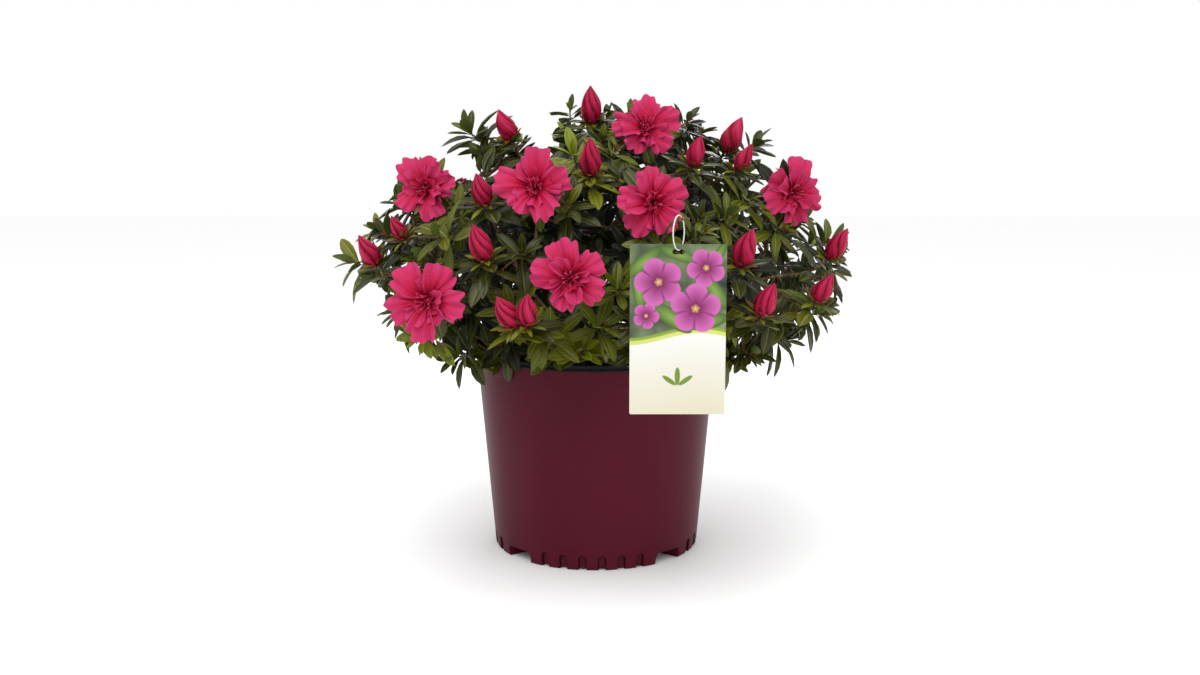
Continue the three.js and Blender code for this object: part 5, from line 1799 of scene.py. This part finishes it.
# Places, sizes and turns on the card, in millimetres from its middle and degrees
PRINTED_LEAVES = [
    (-34, 66, 22, 7, 40), (0, 74, 20, 6, -20), (36, 38, 22, 7, -55), (-6, 12, 24, 8, -35),
    (-38, 36, 18, 6, 100), (30, 8, 20, 7, 15), (38, 72, 16, 5, 60),
]  # fmt: skip
PRINTED_BLOSSOMS = [(-31, 14, 13, 30), (27, 61, 19, 10), (-19, 47, 24, 0), (17, 21, 25, 50)]
SPRIG_LEAVES = [(0, -46, 9, 2.6, 90), (-8, -50, 8, 2.3, 145), (8, -50, 8, 2.3, 35)]
FIELD_FOOT = -2
BAND_HEIGHTS = [(-9, srgb(188, 198, 104)), (-5, srgb(126, 150, 52))]


def card_print():
    """The picture from the back to the front: foot, bands, field, leaves, blossoms."""
    material, tree, shader = new_material("card_print", srgb(222, 221, 214), 0.4, Specular_IOR_Level=0.3)
    place = add_node(tree, "ShaderNodeTexCoord").outputs["Object"]
    inputs = {"Vector": place, "Location": tuple(TAG_MIDDLE), "Scale": (MM, MM, MM)}
    centred = add_node(tree, "ShaderNodeMapping", inputs, vector_type="TEXTURE").outputs[0]
    parts = add_node(tree, "ShaderNodeSeparateXYZ", {0: centred}).outputs
    # The field's lower edge is a slow wave across the card
    swing = math_node(tree, "SINE", math_node(tree, "MULTIPLY_ADD", parts["X"], 0.045, 0.6))
    rise = math_node(tree, "MULTIPLY_ADD", swing, -6, parts["Z"])
    color = mix_color(tree, past(tree, rise, -50, 40), srgb(200, 194, 168), srgb(214, 213, 208))
    for height, band in BAND_HEIGHTS:
        color = mix_color(tree, past(tree, rise, height, 0.5), color, band)
    cloud = add_node(tree, "ShaderNodeTexNoise", {"Vector": centred, "Scale": 0.035, "Detail": 2.0})
    leafy = mix_color(tree, past(tree, cloud.outputs["Fac"], 0.5, 0.2), srgb(34, 46, 40), srgb(118, 132, 92))
    color = mix_color(tree, past(tree, rise, FIELD_FOOT, 0.5), color, leafy)
    for x, z, long, wide, turn in PRINTED_LEAVES:
        out, _ = around(tree, centred, (x, z), long, wide, turn)
        blade = mix_color(tree, past(tree, out, 0.5, 0.5), srgb(120, 148, 66), srgb(58, 88, 36))
        color = mix_color(tree, past(tree, out, 1, -0.04), color, blade)
    for x, z, radius, turn in PRINTED_BLOSSOMS:
        out, angle = around(tree, centred, (x, z), radius, radius, turn)
        # Five rounded petals: the edge swells and shrinks five times round
        lobe = math_node(tree, "ABSOLUTE", math_node(tree, "SINE", math_node(tree, "MULTIPLY", angle, 2.5)))
        edge = math_node(tree, "MULTIPLY_ADD", math_node(tree, "POWER", lobe, 0.6), 0.3, 0.7)
        out = math_node(tree, "DIVIDE", out, edge)
        tones = [(0.0, srgb(222, 190, 96)), (0.2, srgb(112, 20, 78)), (0.95, srgb(186, 92, 160))]
        rings = color_ramp(tree, out, tones)
        crease = mix_color(tree, past(tree, lobe, 0.16, 0.16), srgb(120, 36, 96), rings)
        color = mix_color(tree, past(tree, out, 1, -0.03), color, crease)
    for x, z, long, wide, turn in SPRIG_LEAVES:
        out, _ = around(tree, centred, (x, z), long, wide, turn)
        color = mix_color(tree, past(tree, out, 1, -0.08), color, srgb(104, 128, 44))
    tree.links.new(color, shader.inputs["Base Color"])
    return material


tag.data.materials.clear()
tag.data.materials.append(card_print())

# %% Loop
LOOP_STEPS = 64
LOOP_SIDES = 10
LOOP_HALF_WIDTH = 9 * MM
LOOP_LIGHT = {"Subsurface_Weight": 0.2, "Subsurface_Scale": 2 * MM}
LOOP_PLASTIC = new_material("loop_plastic", srgb(196, 204, 192), 0.3, **LOOP_LIGHT)[0]

loop_middle = np.array((LOOP_LOW + LOOP_HIGH) / 2)
loop_half_height = (LOOP_HIGH.z - LOOP_LOW.z - LOOP_THICKNESS) / 2
loop_points = []
for angle in np.arange(LOOP_STEPS) * 2 * math.pi / LOOP_STEPS:
    for rim in np.arange(LOOP_SIDES) * 2 * math.pi / LOOP_SIDES:
        out = LOOP_THICKNESS / 2 * math.cos(rim)
        deep = LOOP_THICKNESS / 2 * math.sin(rim)
        flat = (LOOP_HALF_WIDTH + out) * math.cos(angle)
        level = direction(90 + LOOP_TURN, 0) * flat + direction(LOOP_TURN, 0) * deep
        loop_points.append(loop_middle + level + UP * (loop_half_height + out) * math.sin(angle))
loop_bed = Collector()
loop_bed.add(loop_points, wrapped(ring_faces(LOOP_STEPS + 1, LOOP_SIDES), len(loop_points)))
loop = loop_bed.build("tag_ring", [LOOP_PLASTIC])

# %% [markdown]
# ## Ride and replace
# Every piece stands still with the plant, so all of them ride the root. Each one names the solids of
# the frame that it takes the place of, and the slot whose finish it shows. The potting mix keeps its
# own solid.

# %% Pieces and what they replace
wood_names = [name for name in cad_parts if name.startswith(("leader", "bough_", "branch_"))]
mass_names = {side: [f"foliage_{side}_{tier}" for tier in ("upper", "lower_1", "lower_2")] for side in SIDES}
mass_names["top"] = ["foliage_top"]
pieces = [
    (trunk, "bark", ["trunk"]),
    (limbs, "bark", wood_names),
    (pot, "pot_plastic", ["pot"]),
    (lip, "rim_plastic", ["pot_rim"]),
    (chips, "potting_mix", []),
    (tag, "tag_card", ["tag"]),
    (loop, "tag_loop", ["tag_loop"]),
    *[(half, "petals", []) for half in petals],
    (threads, "petals", []),
    (buds, "petals", []),
    (bract_scales, "foliage", []),
]
for side, names in mass_names.items():
    pieces += [(twigs[side], "bark", []), (foliage[side], "foliage", names)]
for piece, slot, names in pieces:
    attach(piece, "root")
    if names:
        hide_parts(*names)
print(f"{len(pieces)} pieces, {sum(len(piece.data.polygons) for piece, _, _ in pieces):,} faces")
